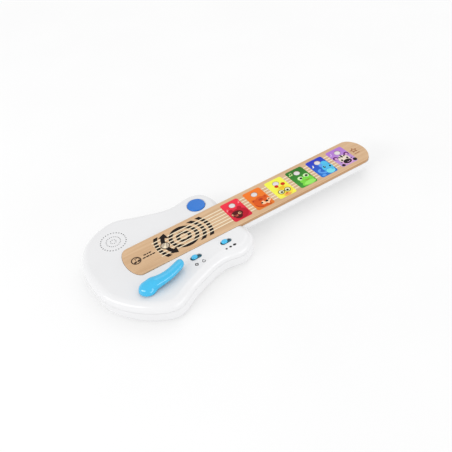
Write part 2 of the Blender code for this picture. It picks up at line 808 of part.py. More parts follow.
def cell_part(number, x, turned_round):
    """An AA cell lying across the body, its positive end at +Y unless it is turned round."""
    shoulder = CELL_LENGTH - 1.5
    profile = [
        (0.0, CELL_LENGTH),
        (2.7, CELL_LENGTH),
        (2.7, shoulder),
        (CELL_RADIUS, shoulder),
        (CELL_RADIUS, 0.0),
        (0.0, 0.0),
    ]
    cell = turned(f"battery_{number}", profile, (x, 0.0), CELL_SKIN, 0.3, 0.6, steps=16)
    side = -1 if turned_round else 1
    start = -22.0 * side
    cell.rotation_euler = (-math.pi / 2 * side, 0.0, 0.0)
    cell.location = (x * MM, start * MM, CELL_Z * MM)


def batteries():
    for number, turned_round in ((1, False), (2, True), (3, False)):
        cell_part(number, CELLS_X + CELL_PITCH * (number - 2), turned_round)
    for number, side in ((1, -1), (2, 1), (3, -1)):
        x = CELLS_X + CELL_PITCH * (number - 2)
        battery_spring(number, x, side)


def battery_spring(number, x, side):
    wire = 0.4
    near = 22.0 + GAP + wire
    far = 28.5 - wire
    points = []
    steps = 20
    for i in range(steps + 1):
        share = i / steps
        angle = 2 * math.pi * 2.5 * share
        radius = 2.6 + 2.2 * share
        y = side * (near + (far - near) * share)
        points.append((x + radius * math.cos(angle), y, CELL_Z + radius * math.sin(angle)))
    tube(f"battery_spring_{number}", points, wire, STEEL, 0.3, 1.0, resolution=0)


def contact(name, cells, side, tab_cell=None):
    """A sheet-metal contact against one end wall of the well, across one or two cells."""
    xs = [CELLS_X + CELL_PITCH * (number - 2) for number in cells]
    near = side * (WELL_HALF_Y - 0.8)
    far = side * (WELL_HALF_Y - GAP)
    y_low, y_high = sorted((near, far))
    low = (min(xs) - 5.5, y_low, 4.6)
    obj = add_part(name, box(name, low, (max(xs) + 5.5, y_high, 15.6)), STEEL, 0.3, 1.0)
    if tab_cell:
        x = CELLS_X + CELL_PITCH * (tab_cell - 2)
        join(obj, box("tab", (x - 1.5, y_low, 15.0), (x + 1.5, y_high, 21.3)))


def door_outline(grow):
    """Rectangle with an ear for the screw."""
    right = CELLS_X + DOOR_HALF_X + grow
    left = CELLS_X - DOOR_HALF_X - grow
    half = DOOR_HALF_Y + grow
    ear_x = DOOR_SCREW[0] + 4.6 + grow
    ear = 4.6 + grow
    return [
        (left, -half),
        (right, -half),
        (right, -ear),
        (ear_x - 2.0, -ear),
        (ear_x, -ear + 2.0),
        (ear_x, ear - 2.0),
        (ear_x - 2.0, ear),
        (right, ear),
        (right, half),
        (left, half),
    ]


def battery_door():
    door = add_part("battery_door", plate("battery_door", door_outline(0.0), DOOR_LOW, DOOR_TOP), WHITE, 0.35)
    join(door, cylinders("cup", [DOOR_SCREW], 4.5, DOOR_LOW + 0.4, 4.0, 14))
    lip_x = CELLS_X - WELL_HALF_X + 0.5
    join(door, box("lip", (lip_x, -20.0, DOOR_TOP - 0.6), (lip_x + 1.4, 20.0, 4.6)))
    cut(door, cylinders("screw_seat", [DOOR_SCREW], 3.3, BELOW, 2.6, 12))
    cut(door, cylinders("screw_hole", [DOOR_SCREW], SCREW_HOLE, 2.0, 10.0, SCREW_SIDES))
    low = (CELLS_X - 8.0, -DOOR_HALF_Y - 5.0, -5.0)
    cut(door, box("finger_notch", low, (CELLS_X + 8.0, -DOOR_HALF_Y + 1.6, 1.3)))
    screw_part("battery_door_screw", DOOR_SCREW, 2.3, 11.0)


def wires():
    z = 21.0
    end = MAIN_TOP + 1.0
    routes = {
        "battery_wire_red": (
            (-154.2, 27.4, z),
            (-149.8, 24.5, z),
            (-141.8, 22.5, z),
            (-126.8, 21.0, z),
            (-112.8, 19.5, z),
            (-103.8, 17.0, end),
        ),
        "battery_wire_black": (
            (-124.2, -27.4, z),
            (-120.8, -25.0, z),
            (-115.8, -23.5, z),
            (-109.8, -22.5, z),
            (-103.8, -21.0, end),
        ),
        "speaker_wire_red": (
            (-150.6, 47.4, 22.0),
            (-144.8, 45.4, 21.4),
            (-128.8, 39.0, z),
            (-112.8, 34.0, z),
            (-103.8, 32.0, end),
        ),
        "speaker_wire_black": (
            (-152.2, 43.0, 22.0),
            (-144.8, 40.2, 21.4),
            (-128.8, 35.5, z),
            (-112.8, 30.5, z),
            (-103.8, 28.0, end),
        ),
    }
    for name, points in routes.items():
        colour = WIRE_RED if name.endswith("red") else BLACK
        tube(name, points, 0.5, colour, 0.5, resolution=0)
    low = (RIBBON_X - 0.4, -5.0, MAIN_TOP + GAP)
    high = (RIBBON_X + 0.4, 5.0, TOUCH_LOW - GAP)
    add_part("ribbon_cable", box("ribbon_cable", low, high), CELL_SKIN, 0.5)


# ---------------------------------------------------------------- fasteners


def screw_part(name, at, seat, tip):
    """A pan-head screw that is driven upwards: its head bears on the seat from below."""
    head = SCREW_HEAD - 0.1
    low = seat - 1.7
    profile = [
        (0.0, tip),
        (SCREW_SHANK * 0.5, tip - 0.4),
        (SCREW_SHANK, tip - 1.6),
        (SCREW_SHANK, seat),
        (head, seat),
        (head, low + 0.6),
        (head - 0.7, low),
        (0.9, low),
        (0.0, low + 0.9),
    ]
    turned(name, profile, at, STEEL, 0.3, 1.0, steps=SCREW_SIDES)


def small_screw(name, at, seat, tip):
    low = seat - 1.4
    profile = [
        (0.0, tip),
        (1.0, tip - 1.2),
        (1.0, seat),
        (2.3, seat),
        (2.3, low + 0.4),
        (1.8, low),
        (0.0, low),
    ]
    turned(name, profile, at, STEEL, 0.3, 1.0, steps=SCREW_SIDES)


def screws():
    for number, at in enumerate(SHELL_SCREWS, 1):
        screw_part(f"shell_screw_{number}", at, 10.0 - GAP, 25.0)
    for number, at in enumerate(TROUGH_SCREWS, 1):
        screw_part(f"fretboard_screw_{number}", at, TROUGH_LOW - GAP, 30.7)
    for number, at in enumerate(NECK_SCREWS, 3):
        screw_part(f"fretboard_screw_{number}", at, 20.0 - GAP, 30.7)
    for number, at in enumerate(BOARD_SCREWS, 1):
        small_screw(f"board_screw_{number}", at, MAIN_LOW - GAP, 25.5)
    for number, at in enumerate(speaker_screws(), 1):
        small_screw(f"speaker_screw_{number}", at, 26.9 - GAP, 28.9)


# ---------------------------------------------------------------- assembly

front_shell()
rear_shell()
fretboard()
light_windows()
touch_board()
play_button()
button_switch()
slide_knob("mode_knob", MODE_X)
slide_knob("volume_knob", VOLUME_X)
slide_switch("mode_switch", MODE_X)
slide_switch("volume_switch", VOLUME_X)
lever()
lever_inner_parts()
speaker()
main_board()
batteries()
contact("contact_positive", (1,), 1, tab_cell=1)
contact("contact_bridge_1", (1, 2), -1)
contact("contact_bridge_2", (2, 3), 1)
contact("contact_negative", (3,), -1, tab_cell=3)
battery_door()
wires()
screws()
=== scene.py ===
"""The looks of the toy electric guitar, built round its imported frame.

Shapes are in millimetres. The camera, the lights and the material nodes are in metres.
"""

import json
import math

import bmesh
import bpy
from mathutils import Matrix, Vector


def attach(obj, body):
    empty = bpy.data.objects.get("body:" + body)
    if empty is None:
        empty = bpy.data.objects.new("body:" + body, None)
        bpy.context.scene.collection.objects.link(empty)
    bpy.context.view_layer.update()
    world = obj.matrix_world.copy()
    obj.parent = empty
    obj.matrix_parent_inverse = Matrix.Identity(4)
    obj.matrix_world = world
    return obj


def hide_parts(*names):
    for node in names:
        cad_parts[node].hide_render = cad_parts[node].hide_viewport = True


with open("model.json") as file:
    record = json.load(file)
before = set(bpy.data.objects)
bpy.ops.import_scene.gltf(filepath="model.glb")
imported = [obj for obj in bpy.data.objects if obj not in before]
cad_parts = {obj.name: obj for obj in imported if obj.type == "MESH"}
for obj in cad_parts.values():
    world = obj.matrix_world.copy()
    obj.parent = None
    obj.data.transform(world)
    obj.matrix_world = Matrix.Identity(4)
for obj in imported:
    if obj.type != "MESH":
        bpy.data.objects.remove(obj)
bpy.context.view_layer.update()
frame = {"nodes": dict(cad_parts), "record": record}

NODES = frame["nodes"]
MM = 0.001
GAP = 0.3

# Body and board, as in the CAD source
HALF_LENGTH = 222.3
BODY_TOP = 30.8
SEAM = 18.4
WALL = 2.2
UNDER_TOP = BODY_TOP - WALL
TOP_CUT = (20.0, 40.0)  # low and high ends of a cut through the top wall
BELOW = -5.0  # low end of a cut through the floor
SCREW_HOLE = 1.6  # radius
TOP_ROUND = 10.5
BOTTOM_ROUND = 8.0
BODY_POINTS = (
    (-14.0, 0.0),
    (-12.2, 47.5),
    (-20.3, 66.3),
    (-37.8, 73.6),
    (-75.0, 69.9),
    (-110.5, 81.1),
    (-153.1, 96.0),
    (-196.7, 78.6),
    (-218.2, 43.2),
    (-HALF_LENGTH, 0.0),
    (-214.7, -39.6),
    (-184.8, -78.1),
    (-150.5, -96.0),
    (-112.0, -79.3),
    (-65.0, -64.3),
    (-31.0, -67.2),
    (-9.3, -48.5),
)
BOARD_HALF = 28.1
BOARD_TAIL = -173.2
TAIL_ROUND = 13.5
BOARD_HEAD = 221.2
HEAD_ROUND = 19.5
BOARD_TOP = 32.0
BOARD_LOW = 27.0
NECK_LOW = 14.0
NECK_WALL = 2.0
NECK_ROUND = 6.0
NECK_START = -22.8
PAD_PITCH = 37.0
FIRST_PAD = -2.5
PADS = [FIRST_PAD + PAD_PITCH * i for i in range(6)]
LIGHT_Y = 11.1
LIGHT_RADIUS = 4.6
BUTTON_AT = (-40.6, 45.6)
BUTTON_RADIUS = 12.8
SLOTS = {"mode": (-92.0, -43.0), "volume": (-46.4, -43.0)}
SLOT_SIZE = (16.5, 7.6)
SLIDE_TRAVEL = 4.5
KNOB_SIZE = (8.6, 6.9)
KNOB_TOP = 34.2
KNOB_PLATE_TOP = 28.3
LEVER_AT = (-168.6, -56.2)
LEVER_REST = 8.3  # degrees from the X axis
LEVER_REACH = 51.1  # from the pivot to the last station
LEVER_BOW = 4.6
LEVER_FLATTEN = 0.86
LEVER_BASE = 31.2
DOME_RADIUS = 12.5
DOME_HEIGHT = 12.8
SHAFT_RADIUS = 4.6
LEVER_STATIONS = (  # distance from the pivot, height, radius
    (2.0, 38.4, 8.2),
    (8.0, 39.0, 9.8),
    (14.0, 39.2, 8.7),
    (21.5, 39.2, 7.9),
    (29.0, 39.3, 7.5),
    (37.0, 39.3, 7.3),
    (45.0, 39.4, 7.1),
    (LEVER_REACH, 39.4, 6.9),
)
SPEAKER_AT = (-166.3, 52.9)
GRILLE_RINGS = ((17.5, 28, 1.0), (9.8, 22, 0.8), (3.9, 8, 0.8))
GRILLE_RELIEF = 19.4
GRILLE_SKIN = 0.9  # the top wall is thinner over the speaker
CELLS_X = -139.2
DOOR_HALF = (27.2, 33.7)
DOOR_SCREW = (-105.8, 0.0)
DOOR_EAR = 4.6  # half width of the tab round the door's screw
DOOR_LOW = 0.4
DOOR_TOP = 2.2
SHELL_SCREWS = (
    (-198.8, 30.0),
    (-198.8, -30.0),
    (-114.8, 66.0),
    (-114.8, -64.5),
    (-24.7, 35.2),
    (-24.7, -38.0),
)
NECK_SCREWS = ((53.0, 0.0), (164.0, 0.0))


# ---------------------------------------------------------------- materials


def new_material(name):
    made = bpy.data.materials.new(name)
    made.use_nodes = True
    tree = made.node_tree
    return made, tree, tree.nodes["Principled BSDF"]


def new_node(tree, kind, **values):
    """A shader node with the named inputs set; a word's underscores stand for spaces."""
    node = tree.nodes.new("ShaderNode" + kind)
    for name, value in values.items():
        node.inputs[name.replace("_", " ")].default_value = value
    return node


def ramp_colour(tree, source, stops):
    ramp = new_node(tree, "ValToRGB")
    elements = ramp.color_ramp.elements
    while len(elements) < len(stops):
        elements.new(0.5)
    for element, (place, colour) in zip(elements, stops):
        element.position = place
        element.color = (*colour, 1.0)
    tree.links.new(source, ramp.inputs["Fac"])
    return ramp.outputs["Color"]


def noise_value(tree, scale, stretch=(1.0, 1.0, 1.0), detail=3.0, roughness=0.5, distortion=0.0):
    """Noise in the object's own metres, stretched along its axes."""
    mapping = new_node(tree, "Mapping", Scale=stretch)
    tree.links.new(new_node(tree, "TexCoord").outputs["Object"], mapping.inputs["Vector"])
    amounts = {"Scale": scale, "Detail": detail, "Roughness": roughness, "Distortion": distortion}
    noise = new_node(tree, "TexNoise", **amounts)
    tree.links.new(mapping.outputs["Vector"], noise.inputs["Vector"])
    return noise.outputs["Fac"]


def ranged(tree, source, low, high, from_low=0.3, from_high=0.7):
    node = new_node(tree, "MapRange", From_Min=from_low, From_Max=from_high, To_Min=low, To_Max=high)
    tree.links.new(source, node.inputs["Value"])
    return node.outputs["Result"]


def calculated(tree, operation, *values):
    """A math node over numbers and outputs of other nodes."""
    node = new_node(tree, "Math")
    node.operation = operation
    for socket, value in zip(node.inputs, values):
        if isinstance(value, float):
            socket.default_value = value
        else:
            tree.links.new(value, socket)
    return node.outputs["Value"]


def mixed_colour(tree, share, base, colour, blend="MIX"):
    node = new_node(tree, "Mix")
    node.data_type = "RGBA"
    node.blend_type = blend
    node.inputs["B"].default_value = (*colour, 1.0)
    tree.links.new(share, node.inputs["Factor"])
    tree.links.new(base, node.inputs["A"])
    return node.outputs["Result"]


def along_axis(tree, kind, output, axis):
    """One axis of a place in the object's own metres, or of the surface normal."""
    split = new_node(tree, "SeparateXYZ")
    tree.links.new(new_node(tree, kind).outputs[output], split.inputs["Vector"])
    return split.outputs[axis]


def surface(tree, shader, colour, relief, rough, strength, distance):
    """Gives the shader its colour, and a relief that changes the gloss and the normal."""
    tree.links.new(colour, shader.inputs["Base Color"])
    tree.links.new(ranged(tree, relief, *rough), shader.inputs["Roughness"])
    bump = new_node(tree, "Bump", Strength=strength, Distance=distance)
    tree.links.new(relief, bump.inputs["Height"])
    tree.links.new(bump.outputs["Normal"], shader.inputs["Normal"])


def darkened(colour, share):
    return [channel * share for channel in colour]


def moulded(name, colour, spread=0.04, rough=(0.26, 0.34), bump=0.10, coat=0.0, metallic=0.0, fine=1400.0):
    """Moulded plastic: faint flow marks in colour and gloss, and a fine spark-eroded skin."""
    made, tree, shader = new_material(name)
    lighter = [min(1.0, channel * (1.0 + spread * 0.5)) for channel in colour]
    tones = [(0.3, darkened(colour, 1.0 - spread)), (0.7, lighter)]
    flow = ramp_colour(tree, noise_value(tree, 28.0, detail=2.0), tones)
    skin = noise_value(tree, fine, detail=4.0, roughness=0.6)
    surface(tree, shader, flow, skin, rough, bump, 0.00006)
    shader.inputs["Metallic"].default_value = metallic
    shader.inputs["Coat Weight"].default_value = coat
    shader.inputs["Coat Roughness"].default_value = 0.12
    return made


def metal(name, colour):
    """Plated steel with faint drawn or rolled lines."""
    made, tree, shader = new_material(name)
    lines = noise_value(tree, 500.0, (1.0, 1.0, 12.0), detail=4.0)
    tones = ramp_colour(tree, lines, [(0.3, darkened(colour, 0.86)), (0.7, colour)])
    surface(tree, shader, tones, lines, (0.22, 0.38), 0.12, 0.00005)
    shader.inputs["Metallic"].default_value = 1.0
    return made


PLY_PITCH = 2.0
GRAIN_STRETCH = (1.0, 26.0, 26.0)
FLECK_STRETCH = (9.0, 60.0, 60.0)


def wood():
    """Light beech ply: long soft grain along the neck, short darker flecks, and plies on the sides."""
    made, tree, shader = new_material("wood_board")
    grain = noise_value(tree, 9.0, GRAIN_STRETCH, detail=7.0, roughness=0.62, distortion=0.35)
    tones = [
        (0.28, (0.504, 0.317, 0.174)),
        (0.45, (0.565, 0.370, 0.214)),
        (0.58, (0.605, 0.410, 0.245)),
        (0.74, (0.645, 0.450, 0.280)),
    ]
    plain = ramp_colour(tree, grain, tones)
    flecks = ranged(tree, noise_value(tree, 34.0, FLECK_STRETCH, detail=1.0), 0.0, 0.22, 0.60, 0.72)
    flecked = mixed_colour(tree, flecks, plain, (0.80, 0.64, 0.50), "MULTIPLY")
    plied = mixed_colour(tree, ply_share(tree), flecked, (0.62, 0.50, 0.40), "MULTIPLY")
    surface(tree, shader, plied, grain, (0.42, 0.56), 0.25, 0.00012)
    shader.inputs["Specular IOR Level"].default_value = 0.2
    return made


def ply_share(tree):
    """How far the board is darkened where it faces sideways, every other ply more than the next."""
    height = along_axis(tree, "TexCoord", "Object", "Z")
    turns = calculated(tree, "MULTIPLY", height, 2.0 * math.pi / (PLY_PITCH * MM))
    bands = ranged(tree, calculated(tree, "SINE", turns), 0.50, 1.00, -0.1, 0.3)
    upright = calculated(tree, "ABSOLUTE", along_axis(tree, "NewGeometry", "Normal", "Z"))
    sideways = ranged(tree, upright, 1.0, 0.0, 0.15, 0.5)
    return calculated(tree, "MULTIPLY", bands, sideways)


INKS = {}


def ink(name, colour, far=None):
    """Screen-printed ink: the grain shows through a little. far is the colour at a pad's +Y end."""
    if name in INKS:
        return INKS[name]
    made, tree, shader = new_material("ink_" + name)
    grain = noise_value(tree, 9.0, GRAIN_STRETCH, detail=6.0, roughness=0.6)
    result = ramp_colour(tree, grain, [(0.3, darkened(colour, 0.86)), (0.7, colour)])
    if far:
        across = along_axis(tree, "TexCoord", "Object", "Y")
        share = ranged(tree, across, 0.0, 1.0, -18.0 * MM, 16.0 * MM)
        result = mixed_colour(tree, share, result, far)
    surface(tree, shader, result, grain, (0.44, 0.56), 0.15, 0.00008)
    shader.inputs["Specular IOR Level"].default_value = 0.10
    INKS[name] = made
    return made


WHITE = moulded("white_plastic", (0.700, 0.700, 0.708), spread=0.012, rough=(0.19, 0.25))
WHITE_INNER = moulded("white_plastic_inner", (0.80, 0.80, 0.80), spread=0.02, rough=(0.40, 0.52))
LIGHT_BLUE = moulded("light_blue_plastic", (0.030, 0.420, 0.700), spread=0.05, rough=(0.16, 0.22), coat=0.3)
# A dark copy of the light blue plastic for the knobs' shutter plates, stems and low cap sides: painted shade
# for the shadow down in the slots.
SHUTTER_PAINTED_SHADE = moulded("light_blue_shutter_painted_shade", (0.012, 0.130, 0.190), spread=0.05, rough=(0.35, 0.45))
DEEP_BLUE = moulded("deep_blue_plastic", (0.006, 0.148, 0.548), spread=0.05, rough=(0.34, 0.44))
FROST = moulded("frosted_plastic", (0.64, 0.60, 0.60), spread=0.03, rough=(0.30, 0.40))
BLACK = moulded("black_plastic", (0.022, 0.022, 0.024), spread=0.2, rough=(0.42, 0.58))
PAPER = moulded("speaker_paper", (0.030, 0.029, 0.028), spread=0.3, rough=(0.80, 0.95), bump=0.5, fine=700.0)
FERRITE = moulded("ferrite", (0.035, 0.034, 0.034), spread=0.2, rough=(0.50, 0.70), bump=0.3, fine=900.0)
CIRCUIT = moulded("circuit_board", (0.020, 0.150, 0.055), spread=0.25, rough=(0.28, 0.40), fine=600.0)
SKIN = moulded("battery_skin", (0.32, 0.33, 0.35), spread=0.08, rough=(0.22, 0.30), metallic=0.5)
RED_WIRE = moulded("red_insulation", (0.55, 0.018, 0.018), spread=0.1, rough=(0.35, 0.48))
BLACK_WIRE = moulded("black_insulation", (0.020, 0.020, 0.020), spread=0.1, rough=(0.35, 0.48))
GREY_WIRE = moulded("grey_insulation", (0.34, 0.35, 0.37), spread=0.1, rough=(0.40, 0.55))
STEEL = metal("steel", (0.60, 0.61, 0.62))
WOOD = wood()
BY_SLOT = {
    "white_plastic": WHITE_INNER,
    "wood": WOOD,
    "frosted_plastic": FROST,
    "deep_blue_plastic": DEEP_BLUE,
    "light_blue_plastic": LIGHT_BLUE,
    "circuit_board": CIRCUIT,
    "black_plastic": BLACK,
    "ferrite": FERRITE,
    "steel": STEEL,
    "battery_skin": SKIN,
    "red_insulation": RED_WIRE,
    "black_insulation": BLACK_WIRE,
    "grey_insulation": GREY_WIRE,
}
for part in frame["record"]["subparts"]:
    finish = PAPER if part["node"] == "speaker_cone" else BY_SLOT[part["material_slot"]]
    for slot in NODES[part["node"]].material_slots:
        slot.material = finish


# ---------------------------------------------------------------- shape helpers


def link(name, mesh):
    obj = bpy.data.objects.new(name, mesh)
    bpy.context.scene.collection.objects.link(obj)
    return obj


def evaluated_mesh(obj):
    """A new mesh of the object as it stands, with its modifiers."""
    evaluated = obj.evaluated_get(bpy.context.evaluated_depsgraph_get())
    mesh = bpy.data.meshes.new_from_object(evaluated)
    mesh.transform(evaluated.matrix_world)
    return mesh


def settle(obj):
    """Makes the evaluated shape the object's own mesh."""
    mesh = evaluated_mesh(obj)
    obj.modifiers.clear()
    obj.data = mesh
    obj.matrix_world = Matrix.Identity(4)


def put(obj, body, materials, replaces, weighted=True):
    """Settles a piece, smooths it, gives it its materials and its body."""
    settle(obj)
    mesh = obj.data
    mesh.materials.clear()
    for entry in materials:
        mesh.materials.append(entry)
    mesh.shade_smooth()
    mesh.set_sharp_from_angle(angle=math.radians(34.0))
    if weighted:
        normals = obj.modifiers.new("normals", "WEIGHTED_NORMAL")
        normals.keep_sharp = True
        normals.weight = 100
        settle(obj)
    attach(obj, body)
    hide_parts(*replaces)


def finish_mesh(name, shape):
    mesh = bpy.data.meshes.new(name)
    shape.to_mesh(mesh)
    shape.free()
    return mesh


def weld(mesh):
    shape = bmesh.new()
    shape.from_mesh(mesh)
    bmesh.ops.remove_doubles(shape, verts=shape.verts, dist=1e-6)
    bmesh.ops.dissolve_limit(shape, angle_limit=1e-3, verts=shape.verts, edges=shape.edges)
    bmesh.ops.recalc_face_normals(shape, faces=shape.faces)
    shape.to_mesh(mesh)
    shape.free()


def as_list(outlines):
    """A list of outlines, from one outline or from several."""
    return outlines if isinstance(outlines[0][0], (tuple, list)) else [outlines]


def plate(name, outlines, low, high):
    """Flat outlines given thickness, made into a closed mesh. An inner outline makes a hole."""
    outlines = as_list(outlines)
    curve = bpy.data.curves.new(name, "CURVE")
    curve.dimensions = "2D"
    curve.fill_mode = "BOTH"
    curve.extrude = (high - low) / 2 * MM
    for outline in outlines:
        spline = curve.splines.new("POLY")
        spline.points.add(len(outline) - 1)
        for target, (x, y) in zip(spline.points, outline):
            target.co = (x * MM, y * MM, 0.0, 1.0)
        spline.use_cyclic_u = True
    holder = link(name, curve)
    holder.location.z = (low + high) / 2 * MM
    mesh = evaluated_mesh(holder)
    bpy.data.objects.remove(holder, do_unlink=True)
    weld(mesh)
    return mesh


def boxes(name, spans):
    shape = bmesh.new()
    for low, high in spans:
        size = [(b - a) * MM for a, b in zip(low, high)]
        middle = [(a + b) / 2 * MM for a, b in zip(low, high)]
        matrix = Matrix.Translation(middle) @ Matrix.Diagonal((*size, 1.0))
        bmesh.ops.create_cube(shape, size=1.0, matrix=matrix)
    return finish_mesh(name, shape)


def cylinders(name, places, low, high, sides=48):
    """Upright cylinders, each (x, y, radius)."""
    shape = bmesh.new()
    for x, y, radius in places:
        bmesh.ops.create_cone(
            shape,
            cap_ends=True,
            segments=sides,
            radius1=radius * MM,
            radius2=radius * MM,
            depth=(high - low) * MM,
            matrix=Matrix.Translation((x * MM, y * MM, (low + high) / 2 * MM)),
        )
    return finish_mesh(name, shape)


def open_face(mesh, height):
    shape = bmesh.new()
    shape.from_mesh(mesh)
    flat = [f for f in shape.faces if all(abs(v.co.z - height * MM) < 1e-6 for v in f.verts)]
    bmesh.ops.delete(shape, geom=flat, context="FACES_ONLY")
    shape.to_mesh(mesh)
    shape.free()


def round_rim(obj, height, radius, segments, profile=0.5):
    """Rounds the edges that lie at this height."""
    mesh = obj.data
    weights = mesh.attributes.new("bevel_weight_edge", "FLOAT", "EDGE")
    for edge in mesh.edges:
        if all(abs(mesh.vertices[i].co.z - height * MM) < 1e-6 for i in edge.vertices):
            weights.data[edge.index].value = 1.0
    bevel = obj.modifiers.new("rim", "BEVEL")
    bevel.limit_method = "WEIGHT"
    bevel.width = radius * MM
    bevel.segments = segments
    bevel.profile = profile
    bevel.use_clamp_overlap = False


def thicken(obj, wall):
    solid = obj.modifiers.new("wall", "SOLIDIFY")
    solid.thickness = wall * MM
    solid.offset = -1.0
    solid.use_even_offset = True


def combine(obj, tool, operation):
    """Joins a helper to a piece, or cuts it away, and removes the helper."""
    helper = tool if isinstance(tool, bpy.types.Object) else link("helper", tool)
    boolean = obj.modifiers.new("combine", "BOOLEAN")
    boolean.operation = operation
    boolean.solver = "EXACT"
    boolean.object = helper
    settle(obj)
    bpy.data.objects.remove(helper, do_unlink=True)


def join(obj, tool):
    combine(obj, tool, "UNION")


def cut(obj, tool):
    combine(obj, tool, "DIFFERENCE")


def turned(name, profile, at, steps=64):
    """A profile of (radius, height) turned about an upright axis, from the top down its outer side."""
    shape = bmesh.new()
    corners = [shape.verts.new((r * MM, 0.0, h * MM)) for r, h in profile]
    edges = [shape.edges.new(pair) for pair in zip(corners, corners[1:])]
    bmesh.ops.spin(
        shape,
        geom=corners + edges,
        cent=(0.0, 0.0, 0.0),
        axis=(0.0, 0.0, 1.0),
        angle=2.0 * math.pi,
        steps=steps,
        use_duplicate=False,
    )
    bmesh.ops.remove_doubles(shape, verts=shape.verts, dist=2e-6)
    bmesh.ops.recalc_face_normals(shape, faces=shape.faces)
    bmesh.ops.translate(shape, verts=shape.verts, vec=(at[0] * MM, at[1] * MM, 0.0))
    return finish_mesh(name, shape)


def smooth_loop(points, steps):
    """Centripetal Catmull-Rom curve through a closed ring of points."""
    found = []
    count = len(points)
    for i in range(count):
        corners = [points[(i + k - 1) % count] for k in range(4)]
        knots = [0.0]
        for a, b in zip(corners, corners[1:]):
            knots.append(knots[-1] + math.sqrt(math.dist(a, b)))
        for step in range(steps):
            t = knots[1] + (knots[2] - knots[1]) * step / steps
            found.append(catmull_rom(corners, knots, t))
    return found


def catmull_rom(corners, knots, t):
    level = list(corners)
    for width in (1, 2, 2):
        blended = []
        for j in range(len(level) - 1):
            first = knots[j] if len(level) > 2 else knots[1]
            last = knots[j + width] if len(level) > 2 else knots[2]
            share = (t - first) / (last - first)
            blended.append(tuple(a + (b - a) * share for a, b in zip(level[j], level[j + 1])))
        level = blended
    return level[0]


def board_outline(grow=0.0, head=BOARD_HEAD, steps=40):
    half = BOARD_HALF + grow
    points = []
    ends = ((head + grow, HEAD_ROUND + grow, 1), (BOARD_TAIL - grow, TAIL_ROUND + grow, -1))
    for end, reach, side in ends:
        for i in range(steps + 1):
            angle = math.pi * (i / steps - 0.5)
            points.append((end - side * reach * (1.0 - math.cos(angle)), side * half * math.sin(angle)))
    return points


def neck_outline():
    ahead = [point for point in board_outline(head=HALF_LENGTH) if point[0] > 0.0]
    return [(NECK_START, -BOARD_HALF)] + ahead + [(NECK_START, BOARD_HALF)]


def stadium(at, length, width, steps=16):
    radius = width / 2
    reach = length / 2 - radius
    points = []
    for side, first in ((1, -90.0), (-1, 90.0)):
        for i in range(steps + 1):
            angle = math.radians(first + 180.0 * i / steps)
            x = at[0] + side * reach + radius * math.cos(angle)
            points.append((x, at[1] + radius * math.sin(angle)))
    return points


def rectangle(low, high):
    return [low, (high[0], low[1]), high, (low[0], high[1])]


def rounded(low, high, radius, steps=6):
    """A rectangle with round corners."""
    points = []
    corners = (
        (high[0] - radius, low[1] + radius, -90.0),
        (high[0] - radius, high[1] - radius, 0.0),
        (low[0] + radius, high[1] - radius, 90.0),
        (low[0] + radius, low[1] + radius, 180.0),
    )
    for x, y, first in corners:
        for i in range(steps + 1):
            angle = math.radians(first + 90.0 * i / steps)
            points.append((x + radius * math.cos(angle), y + radius * math.sin(angle)))
    return points


def ellipse(x, y, rx, ry=None, turn=0.0, steps=36):
    ry = rx if ry is None else ry
    c, s = math.cos(math.radians(turn)), math.sin(math.radians(turn))
    points = []
    for i in range(steps):
        angle = math.radians(360.0 * i / steps)
        px, py = rx * math.cos(angle), ry * math.sin(angle)
        points.append((x + px * c - py * s, y + px * s + py * c))
    return points


# ---------------------------------------------------------------- shells

BODY_OUTLINE = smooth_loop(BODY_POINTS, 14)


def grille_places():
    places = []
    for ring, count, radius in GRILLE_RINGS:
        for i in range(count):
            angle = 2 * math.pi * i / count
            x = SPEAKER_AT[0] + ring * math.cos(angle)
            places.append((x, SPEAKER_AT[1] + ring * math.sin(angle), radius))
    return places


def front_shell():
    mesh = plate("front_shell_fine", BODY_OUTLINE, SEAM + GAP / 2, BODY_TOP)
    open_face(mesh, SEAM + GAP / 2)
    shell = link("front_shell_fine", mesh)
    round_rim(shell, BODY_TOP, TOP_ROUND, 14)
    thicken(shell, WALL)
    settle(shell)
    trough_grow = 2.35
    half = BOARD_HALF + trough_grow
    start = NECK_START - GAP
    tail = [p for p in board_outline(trough_grow) if p[0] < 0.0]
    join(shell, plate("trough", [(start, half)] + tail + [(start, -half)], 23.4, UNDER_TOP + 0.9))
    cut(shell, plate("wood_pocket", board_outline(0.35), BOARD_LOW - GAP, 40.0))
    cut(shell, plate("neck_notch", rectangle((start, -28.45), (5.0, 28.45)), 10.0, 40.0))
    holes = [(*LEVER_AT, 5.0), (*BUTTON_AT, BUTTON_RADIUS + 0.35)]
    cut(shell, cylinders("round_holes", holes, *TOP_CUT, 72))
    cut(shell, cylinders("button_seat", [(*BUTTON_AT, BUTTON_RADIUS + 1.1)], BODY_TOP - 0.35, 40.0, 72))
    for at in SLOTS.values():
        cut(shell, plate("slot", stadium(at, *SLOT_SIZE), *TOP_CUT))
    relief = [(*SPEAKER_AT, GRILLE_RELIEF)]
    cut(shell, cylinders("grille_relief", relief, TOP_CUT[0], BODY_TOP - GRILLE_SKIN, 72))
    cut(shell, cylinders("grille", grille_places(), *TOP_CUT, 14))
    put(shell, "body", [WHITE], ["front_shell"])


